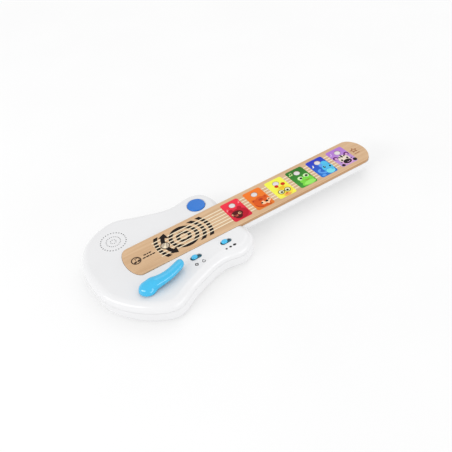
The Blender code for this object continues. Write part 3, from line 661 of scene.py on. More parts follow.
def rear_shell():
    rim = SEAM - GAP / 2
    mesh = plate("rear_shell_fine", BODY_OUTLINE, 0.0, rim)
    open_face(mesh, rim)
    shell = link("rear_shell_fine", mesh)
    round_rim(shell, 0.0, BOTTOM_ROUND, 12)
    thicken(shell, WALL)
    settle(shell)
    neck_top = BOARD_LOW - GAP
    tray_mesh = plate("tray", neck_outline(), NECK_LOW, neck_top)
    open_face(tray_mesh, neck_top)
    tray = link("tray", tray_mesh)
    round_rim(tray, NECK_LOW, NECK_ROUND, 10)
    thicken(tray, NECK_WALL)
    settle(tray)
    join(shell, tray)
    passage = BOARD_HALF - NECK_WALL - 0.6
    low = (NECK_START - 10.0, -passage, NECK_LOW + NECK_WALL)
    cut(shell, boxes("passage", [(low, (-8.0, passage, 30.0))]))
    posts = [(x, y, 4.6) for x, y in SHELL_SCREWS]
    join(shell, cylinders("posts", posts, 1.5, 16.0, 32))
    join(shell, cylinders("neck_posts", [(x, y, 4.0) for x, y in NECK_SCREWS], 15.0, neck_top, 32))
    seat = (DOOR_HALF[0] + 2.4, DOOR_HALF[1] + 2.4)
    join(shell, boxes("seat", [((CELLS_X - seat[0], -seat[1], 1.5), (CELLS_X + seat[0], seat[1], 4.1))]))
    join(shell, boxes("well", [((CELLS_X - 24.6, -31.2, 3.0), (CELLS_X + 24.6, 31.2, 19.4))]))
    join(shell, cylinders("door_boss", [(*DOOR_SCREW, 7.4)], 1.5, 13.0, 32))
    cut(shell, plate("door_opening", door_outline(0.35), BELOW, 2.5))
    cut(shell, boxes("well_inside", [((CELLS_X - 23.0, -29.6, BELOW), (CELLS_X + 23.0, 29.6, 17.6))]))
    cut(shell, cylinders("door_cup", [(*DOOR_SCREW, 5.0)], BELOW, 4.3, 32))
    cut(shell, cylinders("wells", [(x, y, 3.4) for x, y in SHELL_SCREWS], BELOW, 10.0, 32))
    holes = [(x, y, SCREW_HOLE) for x, y in SHELL_SCREWS + (DOOR_SCREW,)]
    cut(shell, cylinders("holes", holes, 4.0, 30.0, 16))
    cut(shell, cylinders("neck_wells", [(x, y, 3.2) for x, y in NECK_SCREWS], 10.0, 20.0, 32))
    neck_holes = [(x, y, SCREW_HOLE) for x, y in NECK_SCREWS]
    cut(shell, cylinders("neck_holes", neck_holes, 15.0, 30.0, 16))
    put(shell, "body", [WHITE], ["rear_shell"])


def door_outline(grow):
    left = CELLS_X - DOOR_HALF[0] - grow
    right = CELLS_X + DOOR_HALF[0] + grow
    half = DOOR_HALF[1] + grow
    ear_x = DOOR_SCREW[0] + DOOR_EAR + grow
    ear = DOOR_EAR + grow
    body = rounded((left, -half), (right, half), 1.2, 4)
    after_corner = [p for p in body if p[0] > CELLS_X and p[1] < 0.0]
    rest = [p for p in body if not (p[0] > CELLS_X and p[1] < 0.0)]
    tab = [(right, -ear), (ear_x - 2.0, -ear), (ear_x, 2.0 - ear)]
    tab += [(ear_x, ear - 2.0), (ear_x - 2.0, ear), (right, ear)]
    return after_corner + tab + rest


def battery_door():
    mesh = plate("battery_door_fine", door_outline(0.0), DOOR_LOW, DOOR_TOP)
    door = link("battery_door_fine", mesh)
    round_rim(door, DOOR_LOW, 0.35, 3)
    settle(door)
    join(door, cylinders("cup", [(*DOOR_SCREW, 4.5)], 0.8, 4.0, 32))
    join(door, boxes("lip", [((CELLS_X - 22.5, -20.0, 1.6), (CELLS_X - 21.1, 20.0, 4.6))]))
    cut(door, cylinders("seat", [(*DOOR_SCREW, 3.3)], BELOW, 2.6, 32))
    cut(door, cylinders("hole", [(*DOOR_SCREW, SCREW_HOLE)], 2.0, 10.0, 16))
    edge = -DOOR_HALF[1]
    cut(door, boxes("notch", [((CELLS_X - 8.0, edge - 5.0, BELOW), (CELLS_X + 8.0, edge + 1.6, 1.3))]))
    grooves = []
    for i in range(5):
        y = edge + 5.0 + 2.4 * i
        grooves.append(((CELLS_X - 9.0, y, -1.0), (CELLS_X + 9.0, y + 1.1, 0.8)))
    cut(door, boxes("grooves", grooves))
    put(door, "battery_door", [WHITE], ["battery_door"])


# ---------------------------------------------------------------- board and its lights


def fretboard():
    board = link("fretboard_fine", plate("fretboard_fine", board_outline(), BOARD_LOW, BOARD_TOP))
    round_rim(board, BOARD_TOP, 1.3, 5)
    settle(board)
    lights = [(x, LIGHT_Y, LIGHT_RADIUS + GAP) for x in PADS]
    cut(board, cylinders("light_holes", lights, *TOP_CUT, 48))
    put(board, "body", [WOOD], ["fretboard"])
    for number, x in enumerate(PADS, 1):
        top = BOARD_TOP + 0.25
        low = 28.6
        profile = [(0.0, top)]
        profile += [(LIGHT_RADIUS * s, top - 0.45 * s * s) for s in (0.25, 0.5, 0.75, 0.9)]
        profile += [(LIGHT_RADIUS - 0.12, top - 0.6), (LIGHT_RADIUS, top - 0.85)]
        profile += [(LIGHT_RADIUS, low), (0.0, low)]
        window = link(f"light_window_fine_{number}", turned("window", profile, (x, LIGHT_Y), 48))
        put(window, "body", [FROST], [f"light_window_{number}"])


# ---------------------------------------------------------------- controls


def play_button():
    """A slightly domed cap with a round edge, a flange that keeps it in and a stem over the switch."""
    r = BUTTON_RADIUS
    top = 32.6
    crown = 0.45  # how far the cap falls from its middle to its edge
    edge = 1.4
    profile = [(0.0, top)]
    for i in range(1, 9):
        share = i / 8
        profile.append(((r - edge) * share, top - crown * share * share))
    for i in range(1, 7):
        angle = math.radians(15.0 * i)
        drop = crown + edge * (1.0 - math.cos(angle))
        profile.append((r - edge + edge * math.sin(angle), top - drop))
    profile += [(r, 28.3), (r + 1.4, 28.3), (r + 1.4, 26.6), (2.2, 26.6), (2.2, 24.9), (0.0, 24.9)]
    button = link("play_button_fine", turned("button", profile, BUTTON_AT, 96))
    put(button, "play_button", [DEEP_BLUE], ["play_button"])


def slide_knob(name, at):
    """A soft oval cap, its shutter plate and stem. Everything below 30 mm takes a darker copy of the cap's
    blue, painted shade for the shadow in the slot.
    """
    x = at[0] - SLIDE_TRAVEL / 2
    y = at[1]
    cap_low = 27.6
    knob = link(f"{name}_knob_fine", plate("cap", stadium((x, y), *KNOB_SIZE), cap_low, KNOB_TOP))
    round_rim(knob, KNOB_TOP, 2.6, 10, 0.55)
    settle(knob)
    join(knob, boxes("shutter", [((x - 11.3, y - 5.0, 27.2), (x + 11.3, y + 5.0, KNOB_PLATE_TOP))]))
    join(knob, boxes("stem", [((x - 1.2, y - 1.1, 22.6), (x + 1.2, y + 1.1, cap_low))]))
    put(knob, f"{name}_knob", [LIGHT_BLUE, SHUTTER_PAINTED_SHADE], [f"{name}_knob"])
    # Painted shade: faces below 30 mm take the dark copy of the blue, for the shadow in the slot.
    for face in knob.data.polygons:
        face.material_index = 1 if face.center.z < 30.0 * MM else 0


def lever():
    """Dome and arm run into one smooth drop: a union, remeshed and relaxed. Its shaft is added after."""
    dome = []
    for i in range(17):
        angle = math.radians(90.0 - 90.0 * i / 16)
        dome.append((DOME_RADIUS * math.cos(angle), LEVER_BASE + DOME_HEIGHT * math.sin(angle)))
    dome[0] = (0.0, LEVER_BASE + DOME_HEIGHT)
    dome.append((0.0, LEVER_BASE))
    body = link("lever_fine", turned("lever", dome, LEVER_AT, 64))
    rest = math.radians(LEVER_REST)
    sides = 40
    shape = bmesh.new()
    rings = []
    for along, height, radius in lofted(LEVER_STATIONS, 5):
        bow = -LEVER_BOW * math.sin(math.pi * along / LEVER_REACH)
        ring = []
        for i in range(sides):
            angle = 2 * math.pi * i / sides
            side = bow + radius * math.cos(angle)
            x = along * math.cos(rest) - side * math.sin(rest)
            y = along * math.sin(rest) + side * math.cos(rest)
            z = height + radius * LEVER_FLATTEN * math.sin(angle)
            ring.append(shape.verts.new(((LEVER_AT[0] + x) * MM, (LEVER_AT[1] + y) * MM, z * MM)))
        rings.append(ring)
    for one, two in zip(rings, rings[1:]):
        for i in range(sides):
            k = (i + 1) % sides
            shape.faces.new((one[i], one[k], two[k], two[i]))
    shape.faces.new(rings[0])
    shape.faces.new(rings[-1])
    bmesh.ops.recalc_face_normals(shape, faces=shape.faces)
    join(body, finish_mesh("arm", shape))
    remesh = body.modifiers.new("remesh", "REMESH")
    remesh.mode = "VOXEL"
    remesh.voxel_size = 0.5 * MM
    relax = body.modifiers.new("relax", "SMOOTH")
    relax.factor = 0.7
    relax.iterations = 140
    settle(body)
    cut(body, boxes("level", [((-200.0, -90.0, 20.0), (-90.0, -20.0, LEVER_BASE))]))
    join(body, cylinders("shaft", [(*LEVER_AT, SHAFT_RADIUS)], 25.0, 33.0, 32))
    put(body, "lever", [LIGHT_BLUE], ["lever"], weighted=False)


def blend(p, q, r, s, t):
    """The uniform Catmull-Rom value a share t of the way from q to r."""
    square = (2 * p - 5 * q + 4 * r - s) * t * t
    cube = (3 * q - p - 3 * r + s) * t**3
    return 0.5 * (2 * q + (r - p) * t + square + cube)


def open_spline(points, steps):
    """Points along a Catmull-Rom curve through open points, all but the last."""
    found = []
    ends = [points[0], *points, points[-1]]
    for four in zip(ends, ends[1:], ends[2:], ends[3:]):
        for step in range(steps):
            found.append(tuple(blend(*values, step / steps) for values in zip(*four)))
    return found


def lofted(stations, steps):
    """Stations between the given ones, with a round tip at the end."""
    found = open_spline(stations, steps)
    along, height, radius = stations[-1]
    for i in range(9):
        angle = math.radians(10.0 * i)
        found.append((along + radius * math.sin(angle), height, radius * math.cos(angle)))
    return found


# ---------------------------------------------------------------- fasteners seen from below


def screw_shape(name, at, seat, tip):
    """Pan head with a cross recess, driven upwards."""
    low = seat - 1.7
    profile = [
        (0.0, tip),
        (0.6, tip - 0.4),
        (1.25, tip - 1.6),
        (1.25, seat),
        (2.7, seat),
        (2.8, seat - 0.15),
        (2.75, low + 0.75),
        (2.45, low + 0.3),
        (1.9, low + 0.06),
        (0.0, low),
    ]
    screw = link(name, turned(name, profile, at, 40))
    x, y = at
    arms = [
        ((x - 1.6, y - 0.32, low - 1.0), (x + 1.6, y + 0.32, low + 0.9)),
        ((x - 0.32, y - 1.6, low - 1.0), (x + 0.32, y + 1.6, low + 0.9)),
    ]
    for arm in arms:
        cut(screw, boxes("recess", [arm]))
    return screw


def screws():
    seats = [(f"shell_screw_{i}", at, 9.7, 25.0, "body") for i, at in enumerate(SHELL_SCREWS, 1)]
    seats += [(f"fretboard_screw_{i}", at, 19.7, 30.7, "body") for i, at in enumerate(NECK_SCREWS, 3)]
    seats.append(("battery_door_screw", DOOR_SCREW, 2.3, 11.0, "battery_door"))
    for node, at, seat, tip, body in seats:
        put(screw_shape(node + "_fine", at, seat, tip), body, [STEEL], [node])


# ---------------------------------------------------------------- prints

LAYER = 0.02  # thickness of one printed layer
PRINT_LIFT = 0.005  # underside of a print above what it is printed on
PAD_Y = -0.2
PAD_HALF = 14.3
PAD_HALF_WIDTH = 21.2
PAD_SHIFTS = (-0.4, -0.2, -0.1, -0.6, -1.1, -1.2)  # how far each print sits toward the tail of its place


def printed(name, layers, at=(0.0, 0.0), base=BOARD_TOP):
    """Flat ink shapes, each a little prouder than the one before: (ink, outline or outlines)."""
    whole = bmesh.new()
    materials = []
    for level, (finish, outlines) in enumerate(layers, 1):
        moved = [[(x + at[0], y + at[1]) for x, y in outline] for outline in as_list(outlines)]
        mesh = plate("layer", moved, base + PRINT_LIFT, base + LAYER * level)
        if finish not in materials:
            materials.append(finish)
        before = len(whole.faces)
        whole.from_mesh(mesh)
        whole.faces.ensure_lookup_table()
        for face in whole.faces[before:]:
            face.material_index = materials.index(finish)
        bpy.data.meshes.remove(mesh)
    obj = link(name, finish_mesh(name, whole))
    for entry in materials:
        obj.data.materials.append(entry)
    obj.data.shade_flat()
    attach(obj, "body")


def half_turn(centre, edge, steps=8):
    """The points between edge and the point opposite it, on a circle round centre."""
    x, y = centre
    nx, ny = edge[0] - x, edge[1] - y
    found = []
    for i in range(1, steps):
        angle = -math.pi * i / steps
        c, s = math.cos(angle), math.sin(angle)
        found.append((x + nx * c - ny * s, y + nx * s + ny * c))
    return found


def ribbon(points, width):
    """An outline of even width along a bent line, with round ends."""
    left, right = [], []
    for i, (x, y) in enumerate(points):
        ahead = points[min(i + 1, len(points) - 1)]
        behind = points[max(i - 1, 0)]
        dx, dy = ahead[0] - behind[0], ahead[1] - behind[1]
        long = math.hypot(dx, dy)
        nx, ny = -dy / long * width / 2, dx / long * width / 2
        left.append((x + nx, y + ny))
        right.append((x - nx, y - ny))
    return left + half_turn(points[-1], left[-1]) + right[::-1] + half_turn(points[0], right[0])


def bend(points, steps=6):
    """A smooth line through the points."""
    return open_spline(points, steps) + [points[-1]]


def note(finish, x, y, tall=4.2, pair=False):
    """A quaver, or two joined ones."""
    head = tall * 0.26
    thin = 0.28  # half the stem's width
    top = y + tall
    layers = [(finish, ellipse(x, y, head * 1.25, head * 0.9, 20.0, 20))]
    stem = x + head * 1.1
    layers.append((finish, rectangle((stem - thin, y), (stem + thin, top))))
    if pair:
        second = stem + tall * 0.75
        layers.append((finish, ellipse(second - head * 1.1, y + 0.4, head * 1.25, head * 0.9, 20.0, 20)))
        layers.append((finish, rectangle((second - thin, y + 0.4), (second + thin, top + 0.4))))
        beam = [(stem - thin, top - 0.9), (second + thin, top - 0.5)]
        beam += [(second + thin, top + 0.5), (stem - thin, top + 0.1)]
        layers.append((finish, beam))
    else:
        flag = [(stem, top - 0.2), (stem + 1.0, top - 1.2), (stem + 1.1, top - 2.2)]
        layers.append((finish, ribbon(bend(flag), 0.6)))
    return layers


def pad_outline(shift):
    hole = ellipse(0.0, LIGHT_Y - PAD_Y, LIGHT_RADIUS + GAP, steps=48)
    low = (shift - PAD_HALF, -PAD_HALF_WIDTH)
    return [rounded(low, (shift + PAD_HALF, PAD_HALF_WIDTH), 3.2), hole]


DARK = ink("dark", (0.010, 0.005, 0.004))
CREAM = ink("cream", (0.860, 0.740, 0.540))
EYE = ink("eye", (0.900, 0.880, 0.800))


def bear():
    coat = ink("bear", (0.460, 0.006, 0.022))
    mask = ink("bear_mask", (0.085, 0.005, 0.005))
    snout = ink("bear_snout", (0.500, 0.085, 0.060))
    rim = ink("bear_eye", (0.760, 0.440, 0.230))
    pale = ink("pink", (0.900, 0.300, 0.330))
    return [
        (coat, ellipse(-7.6, 2.0, 3.0)),
        (coat, ellipse(5.6, 2.2, 3.2)),
        (coat, ellipse(0.8, -9.2, 12.0, 10.8)),
        (mask, ellipse(-3.2, -7.4, 8.4, 6.2, -6.0)),
        (mask, ellipse(-3.4, -12.4, 5.4, 5.0)),
        (rim, ellipse(-9.6, -6.8, 1.5, 2.1, 12.0, 24)),
        (mask, ellipse(-9.0, -6.9, 0.8, 1.3, 12.0, 20)),
        (rim, ellipse(0.2, -8.4, 2.2, 2.4, steps=28)),
        (mask, ellipse(0.5, -8.2, 1.4, steps=24)),
        (rim, ellipse(0.1, -7.6, 0.5, steps=16)),
        (snout, ellipse(-5.6, -10.4, 2.4, 2.0)),
        (DARK, ellipse(-5.8, -9.4, 1.0, 0.7, steps=20)),
        *note(pale, -11.8, 4.4, 3.6),
        *note(pale, 10.4, 10.8, 3.6),
    ]


def fox():
    coat = ink("fox", (0.660, 0.095, 0.010))
    cheek = ink("fox_cheek", (0.900, 0.560, 0.330))
    deep = ink("fox_deep", (0.460, 0.045, 0.006))
    return [
        (coat, [(-11.8, -4.0), (-10.6, 2.6), (-3.6, 0.6)]),
        (coat, [(12.6, -4.0), (12.0, 2.6), (4.6, 0.6)]),
        (coat, ellipse(1.4, -1.6, 6.4, 5.0)),
        (coat, ellipse(0.4, -9.0, 12.4, 10.8)),
        (deep, [(-10.4, -2.0), (-9.8, 0.6), (-6.8, -0.8)]),
        (deep, [(11.4, -2.4), (10.9, 0.4), (8.0, -1.0)]),
        (deep, ellipse(1.2, -3.2, 3.4, 2.2)),
        (deep, ribbon(bend([(-10.6, -10.6), (-8.4, -15.4), (-3.8, -18.4)]), 1.4)),
        (cheek, ellipse(1.8, -11.4, 4.6, 3.6, 20.0)),
        (cheek, ellipse(10.6, -9.8, 2.8, 3.8, -14.0)),
        (coat, ellipse(5.6, -8.4, 2.8, 3.2)),
        (cheek, [(2.6, -12.6), (11.4, -12.2), (6.6, -17.6)]),
        (DARK, ellipse(-1.2, -10.8, 1.7, 1.4, steps=24)),
        (DARK, ellipse(11.2, -8.8, 1.2, steps=24)),
        (DARK, ellipse(6.6, -11.2, 2.7, 1.6, 12.0, 24)),
        (deep, ribbon(bend([(4.6, -18.8), (7.0, -19.6), (9.4, -18.6)]), 0.7)),
    ]


def giraffe():
    face = ink("giraffe", (0.860, 0.680, 0.050))
    patch = ink("giraffe_patch", (0.820, 0.500, 0.020))
    horn = ink("giraffe_horn", (0.560, 0.030, 0.006))
    rim = ink("giraffe_rim", (0.060, 0.070, 0.004))
    muzzle = ink("giraffe_muzzle", (0.840, 0.400, 0.090))
    glass = ink("giraffe_eye", (0.780, 0.780, 0.480))
    return [
        (patch, ribbon([(-1.2, -2.0), (-2.6, 5.4)], 2.2)),
        (patch, ribbon([(4.4, -2.0), (7.6, 5.0)], 2.2)),
        (horn, ellipse(-2.8, 5.4, 3.0)),
        (horn, ellipse(7.8, 5.0, 3.2)),
        (face, ellipse(1.4, -9.4, 11.0, 10.6)),
        (patch, ellipse(1.6, -1.6, 4.2, 3.4)),
        (muzzle, ellipse(0.6, -17.6, 5.6, 3.2)),
        (rim, ellipse(-4.4, -9.0, 4.7)),
        (rim, ellipse(5.8, -9.4, 4.7)),
        (rim, rectangle((-1.0, -9.6), (2.0, -8.4))),
        (glass, ellipse(-4.4, -9.0, 3.7)),
        (glass, ellipse(5.8, -9.4, 3.7)),
        (DARK, ellipse(-4.0, -9.8, 1.9, steps=24)),
        (DARK, ellipse(5.2, -10.2, 1.9, steps=24)),
        (horn, ellipse(0.6, -15.6, 1.8, 1.1, steps=24)),
        (muzzle, ribbon(bend([(-3.6, -19.0), (0.6, -20.2), (4.8, -19.0)]), 1.0)),
    ]


def frog():
    skin = ink("frog", (0.185, 0.640, 0.055))
    belly = ink("frog_belly", (0.300, 0.760, 0.120))
    mouth = ink("frog_mouth", (0.300, 0.150, 0.010))
    pale = ink("pale_green", (0.480, 0.680, 0.260))
    white = ink("frog_eye", (0.620, 0.800, 0.480))
    return [
        (skin, ellipse(-3.0, -2.6, 5.0)),
        (skin, ellipse(7.0, -1.4, 5.0)),
        (skin, ellipse(2.6, -9.6, 10.6, 8.2)),
        (belly, ellipse(3.2, -16.6, 9.4, 4.4)),
        (skin, ribbon(bend([(-6.0, -14.0), (-8.0, -17.0), (-5.0, -19.0)]), 2.4)),
        (white, ellipse(-3.2, -2.1, 4.1)),
        (white, ellipse(7.2, -0.9, 4.1)),
        (DARK, ellipse(-2.4, -2.6, 2.2, steps=24)),
        (DARK, ellipse(7.6, -1.2, 2.2, steps=24)),
        (skin, ellipse(2.2, -5.6, 5.0, 3.4)),
        (mouth, ribbon(bend([(0.4, -9.4), (3.6, -10.4), (6.8, -9.2)]), 0.8)),
        *note(pale, -12.0, 11.4, 4.8, pair=True),
    ]


def elephant():
    hide = ink("elephant", (0.075, 0.480, 0.760))
    shade = ink("elephant_shade", (0.095, 0.330, 0.800))
    chest = ink("elephant_chest", (0.180, 0.680, 0.780))
    trunk = [(1.0, -12.6), (-4.6, -13.6), (-9.4, -10.4), (-10.2, -6.0), (-7.2, -4.2)]
    return [
        (shade, ribbon(bend(trunk), 3.4)),
        (shade, ellipse(-9.4, -17.6, 3.2, 2.4)),
        (hide, ellipse(6.8, 3.4, 5.6, 6.6, -14.0)),
        (shade, ellipse(0.8, 1.8, 3.8, 5.0, 16.0)),
        (hide, ellipse(5.4, -6.8, 8.4, 9.4)),
        (chest, ellipse(4.6, -14.8, 6.6, 5.6)),
        (hide, ellipse(9.4, -10.6, 3.4, 4.2)),
        (DARK, ellipse(2.0, -3.0, 1.5, 2.2, 18.0, 24)),
        (DARK, ellipse(10.2, -5.6, 1.4, 1.9, -10.0, 24)),
        (EYE, ellipse(2.5, -2.2, 0.4, steps=16)),
        (shade, ribbon(bend([(1.4, -8.0), (4.6, -9.6), (7.6, -8.8)]), 0.8)),
        (chest, ellipse(5.0, -12.4, 2.6, 2.2)),
        *note(EYE, -11.4, 5.8, 4.0),
    ]


def zebra():
    face = ink("zebra", (0.800, 0.690, 0.580))
    ear = ink("zebra_ear", (0.110, 0.006, 0.130))
    inner = ink("zebra_inner", (0.680, 0.360, 0.640))
    pale = ink("lilac", (0.700, 0.480, 0.840))
    return [
        (ear, ellipse(-10.6, 1.6, 3.8, 4.2, 24.0)),
        (ear, ellipse(8.6, 1.8, 3.8, 4.2, -24.0)),
        (inner, ellipse(-10.4, 0.4, 2.0, 2.6, 24.0)),
        (inner, ellipse(8.4, 0.6, 2.0, 2.6, -24.0)),
        (face, ellipse(-1.0, -6.4, 8.4, 9.6)),
        (inner, ellipse(-0.8, -14.6, 9.0, 5.6)),
        (DARK, ellipse(-1.0, 0.8, 1.5, 3.4, steps=24)),
        (DARK, ellipse(-5.0, 0.0, 1.0, 2.2, 40.0, 20)),
        (DARK, ellipse(3.2, 0.0, 1.0, 2.2, -40.0, 20)),
        (DARK, ellipse(-0.8, -13.6, 6.6, 5.0)),
        (DARK, ellipse(-6.0, -7.2, 1.6, 2.0, steps=24)),
        (DARK, ellipse(4.0, -6.8, 1.6, 2.0, steps=24)),
        (inner, ribbon(bend([(-2.2, -15.0), (0.2, -15.8), (2.8, -14.2)]), 0.7)),
        (DARK, ellipse(-11.4, -17.8, 2.6)),
        (DARK, ellipse(10.2, -16.6, 3.0, 3.2)),
        (DARK, ribbon([(-10.4, -10.6), (-8.4, -11.0)], 0.8)),
        (DARK, ribbon([(7.4, -11.0), (9.6, -10.4)], 0.8)),
        *note(pale, -11.6, 10.8, 4.6),
    ]


def pads():
    """One print a pad: its ground, which changes colour toward +Y, and an animal."""
    grounds = [
        ("red", (0.640, 0.016, 0.045), (0.760, 0.030, 0.055), bear),
        ("orange", (0.740, 0.180, 0.020), (0.780, 0.170, 0.016), fox),
        ("yellow", (0.860, 0.830, 0.085), (0.780, 0.790, 0.075), giraffe),
        ("green", (0.050, 0.300, 0.035), (0.026, 0.160, 0.018), frog),
        ("blue", (0.018, 0.165, 0.560), (0.024, 0.040, 0.480), elephant),
        ("violet", (0.500, 0.300, 0.600), (0.390, 0.170, 0.560), zebra),
    ]
    for x, shift, (name, near, far, animal) in zip(PADS, PAD_SHIFTS, grounds):
        layers = [(ink(name, near, far), pad_outline(shift)), *animal()]
        printed(f"pad_print_{name}", layers, (x, PAD_Y))


STRING_PITCH = 5.85
STRING_HALF = 0.85  # half a string's width
STRING_YS = [-0.7 + STRING_PITCH * (i - 2.5) for i in range(6)]
STRINGS_END = -127.6
STRING_GAP = 0.05  # between a string's end and a pad
RINGS_X = -85.8
RINGS_Y = -0.2
ARROW_RADIUS = 28.9  # of the line that the two-way arrow bends along


def arc_band(inner, outer, side, steps=28):
    """A slice of a ring, kept between two straight cuts along the board."""
    ys = [PAD_HALF_WIDTH * (2.0 * i / steps - 1.0) + RINGS_Y for i in range(steps + 1)]
    out = [(RINGS_X + side * math.sqrt(outer**2 - y * y), y) for y in ys]
    back = [(RINGS_X + side * math.sqrt(inner**2 - y * y), y) for y in reversed(ys)]
    return out + back


def strum_print():
    """Rings and arcs like sound waves, the two-way arrow and the touch sign, crossed by the strings."""
    layers = [
        (DARK, [ellipse(RINGS_X, RINGS_Y, 20.9, steps=96), ellipse(RINGS_X, RINGS_Y, 15.4, steps=72)]),
        (DARK, [ellipse(RINGS_X, RINGS_Y, 10.7, steps=64), ellipse(RINGS_X, RINGS_Y, 5.6, steps=48)]),
        (DARK, arc_band(25.6, 30.9, 1)),
        (DARK, arc_band(35.2, 40.8, 1)),
        (DARK, arc_band(35.8, 41.3, -1)),
    ]
    printed("rings_print", layers)
    centres = [x + shift for x, shift in zip(PADS, PAD_SHIFTS)]
    starts = [STRINGS_END, *[x + PAD_HALF + STRING_GAP for x in centres[:-1]]]
    ends = [x - PAD_HALF - STRING_GAP for x in centres]
    spans = []
    for y in STRING_YS:
        low, high = y - STRING_HALF, y + STRING_HALF
        spans += [rectangle((start, low), (end, high)) for start, end in zip(starts, ends)]
    printed("strings_print", [(CREAM, spans)], base=BOARD_TOP + LAYER * 5.5)
    arrow = []
    for side in (1, -1):
        path = []
        for i in range(9):
            angle = math.radians(180.0 - side * (13.0 + 3.0 * i))
            x = RINGS_X + ARROW_RADIUS * math.cos(angle)
            path.append((x, RINGS_Y + ARROW_RADIUS * math.sin(angle)))
        arrow.append((DARK, ribbon(path, 5.8)))
        tip = RINGS_X - 19.6
        head = ((tip, 22.0), (tip - 10.6, 17.4), (tip + 1.6, 10.6))
        arrow.append((DARK, [(x, side * y + RINGS_Y) for x, y in head]))
    centre = RINGS_X - 28.6
    arrow += [
        (DARK, ellipse(centre, -0.3, 6.3, steps=48)),
        (ink("badge", (0.500, 0.410, 0.310)), ellipse(centre, -0.3, 5.4, steps=48)),
        (DARK, ribbon([(centre - 0.9, -1.6), (centre + 1.9, 3.4)], 2.9)),
        (CREAM, ribbon([(centre - 0.9, -1.6), (centre + 1.8, 3.2)], 1.9)),
        (CREAM, ellipse(centre - 1.7, -2.8, 2.1, steps=24)),
    ]
    printed("arrow_print", arrow, base=BOARD_TOP + LAYER * 7)


def shrunk(outline, middle, share):
    """The outline drawn toward a middle point, for the inside of an outlined sign."""
    return [(middle[0] + (x - middle[0]) * share, middle[1] + (y - middle[1]) * share) for x, y in outline]


def tail_sign():
    """Two joined quavers in a ring, and two rows of dashes."""
    brown = ink("tail_sign", (0.040, 0.022, 0.014))
    rows = (
        (1.8, ((-146.0, -142.6), (-141.2, -139.6), (-138.2, -135.2))),
        (-3.0, ((-149.2, -145.6), (-144.2, -140.2), (-138.8, -136.6), (-135.2, -131.8))),
    )
    dashes = []
    for y, spans in rows:
        dashes += [(brown, ribbon([(left + 1.0, y), (right - 0.2, y)], 2.0)) for left, right in spans]
    ring = [ellipse(-157.9, -0.9, 7.0, steps=48), ellipse(-157.9, -0.9, 5.4, steps=48)]
    notes = note(brown, -160.2, -3.6, 6.6, pair=True)
    printed("tail_sign_print", [(brown, ring), *notes, *dashes])


def head_sign():
    """An outlined star and a bar."""
    brown = ink("head_sign", (0.330, 0.130, 0.055))
    middle = (204.6, 0.6)
    star = []
    for i in range(10):
        radius = 6.2 if i % 2 == 0 else 3.1
        angle = math.radians(90.0 + 36.0 * i)
        star.append((middle[0] + radius * math.cos(angle), middle[1] + radius * math.sin(angle)))
    bar = ribbon([(200.6, -7.4), (208.6, -7.4)], 1.3)
    printed("head_sign_print", [(brown, [star, shrunk(star, middle, 0.50)]), (brown, bar)])


def slide_signs():
    """A drop and a square at the mode slide, three growing dots at the volume slide."""
    grey = ink("sign_grey", (0.030, 0.030, 0.032))
    corners = [(-87.5, -51.9), (-89.4, -54.6), (-89.9, -56.4), (-87.5, -58.0)]
    corners += [(-85.1, -56.4), (-85.6, -54.6), (-87.5, -51.9)]
    drop = bend(corners)
    middle = (-97.9, -55.2)
    square = []
    for degrees in (20, 110, 200, 290):
        angle = math.radians(degrees)
        square.append((middle[0] + 3.0 * math.cos(angle), middle[1] + 3.0 * math.sin(angle)))
    layers = [
        (grey, [drop, shrunk(drop, (-87.5, -55.4), 0.60)]),
        (grey, [square, shrunk(square, middle, 0.42)]),
    ]
    printed("mode_sign_print", layers, base=BODY_TOP)
    dots = [
        (ink("sign_pale", (0.130, 0.130, 0.135)), ellipse(-52.9, -55.1, 1.5, steps=24)),
        (grey, ellipse(-46.7, -55.0, 1.9, 1.6, steps=28)),
        (grey, ellipse(-40.4, -54.9, 2.5, 1.8, steps=32)),
    ]
    printed("volume_sign_print", dots, base=BODY_TOP)


# ---------------------------------------------------------------- stage


def camera():
    """The photographer's view, from above the near side and a little toward the tail."""
    data = bpy.data.cameras.new("camera")
    data.sensor_width = 36.0
    data.lens = 52.93
    data.clip_start = 0.01
    data.clip_end = 20.0
    view = bpy.data.objects.new("camera", data)
    bpy.context.scene.collection.objects.link(view)
    right = Vector((0.8416, -0.5281, -0.1133)).normalized()
    back = Vector((-0.3266, -0.6646, 0.6721)).normalized()
    up = back.cross(right).normalized()
    right = up.cross(back)
    place = Vector((-0.32163, -0.61029, 0.63001))
    turn = Matrix((right, up, back)).transposed().to_4x4()
    view.matrix_world = Matrix.Translation(place) @ turn
    bpy.context.scene.camera = view


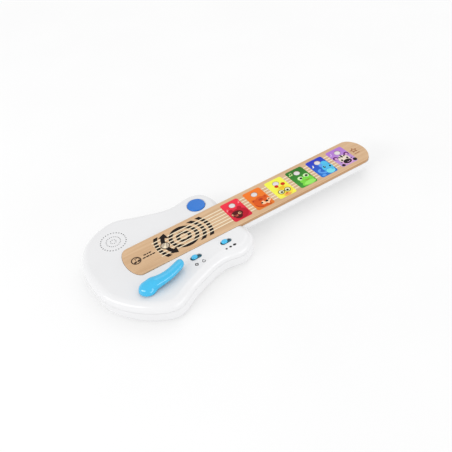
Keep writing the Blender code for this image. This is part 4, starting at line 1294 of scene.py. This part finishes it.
def softbox(name, place, target, size, power, along=(1.0, 0.0, 0.0)):
    """A rectangular light aimed at target, its long side lying along the given direction."""
    data = bpy.data.lights.new(name, "AREA")
    data.shape = "RECTANGLE"
    data.size, data.size_y = size
    data.energy = power
    lamp = bpy.data.objects.new(name, data)
    bpy.context.scene.collection.objects.link(lamp)
    back = (Vector(place) - Vector(target)).normalized()
    across = (Vector(along) - back * back.dot(Vector(along))).normalized()
    turn = Matrix((across, back.cross(across), back)).transposed().to_4x4()
    lamp.matrix_world = Matrix.Translation(place) @ turn


FLOOR_HALF = 3000.0


def stage():
    """A white table lit from below, in a light tent: shadows stay pale and run all round the toy."""
    half = FLOOR_HALF
    floor = link("floor", boxes("floor", [((-half, -half, -20.0), (half, half, -0.2))]))
    floor_finish, tree, shader = new_material("floor_paper")
    tones = [(0.3, (0.455, 0.455, 0.455)), (0.7, (0.465, 0.465, 0.465))]
    paper = ramp_colour(tree, noise_value(tree, 6.0, detail=2.0), tones)
    tree.links.new(paper, shader.inputs["Base Color"])
    shader.inputs["Roughness"].default_value = 0.9
    shader.inputs["Specular IOR Level"].default_value = 0.1
    shader.inputs["Emission Color"].default_value = (1.0, 1.0, 1.0, 1.0)
    shader.inputs["Emission Strength"].default_value = 0.435
    floor.data.materials.append(floor_finish)
    world = bpy.data.worlds.new("studio")
    bpy.context.scene.world = world
    world.use_nodes = True
    background = world.node_tree.nodes["Background"]
    background.inputs["Color"].default_value = (1.0, 1.0, 1.0, 1.0)
    background.inputs["Strength"].default_value = 0.93
    softbox("front", (1.6, -3.0, 0.4), (0.0, 0.0, 0.02), (3.8, 0.7), 42.0)
    softbox("left", (-2.26, -0.05, 1.0), (-0.15, 0.0, 0.02), (2.4, 0.45), 22.0, along=(0.19, -0.91, 0.38))
    softbox("right", (2.0, 1.3, 3.0), (0.0, 0.0, 0.0), (2.6, 2.6), 22.0)
    bpy.context.scene.view_settings.view_transform = "Standard"


front_shell()
rear_shell()
battery_door()
fretboard()
play_button()
for slot_name, slot_at in SLOTS.items():
    slide_knob(slot_name, slot_at)
lever()
screws()
pads()
strum_print()
tail_sign()
head_sign()
slide_signs()
camera()
stage()
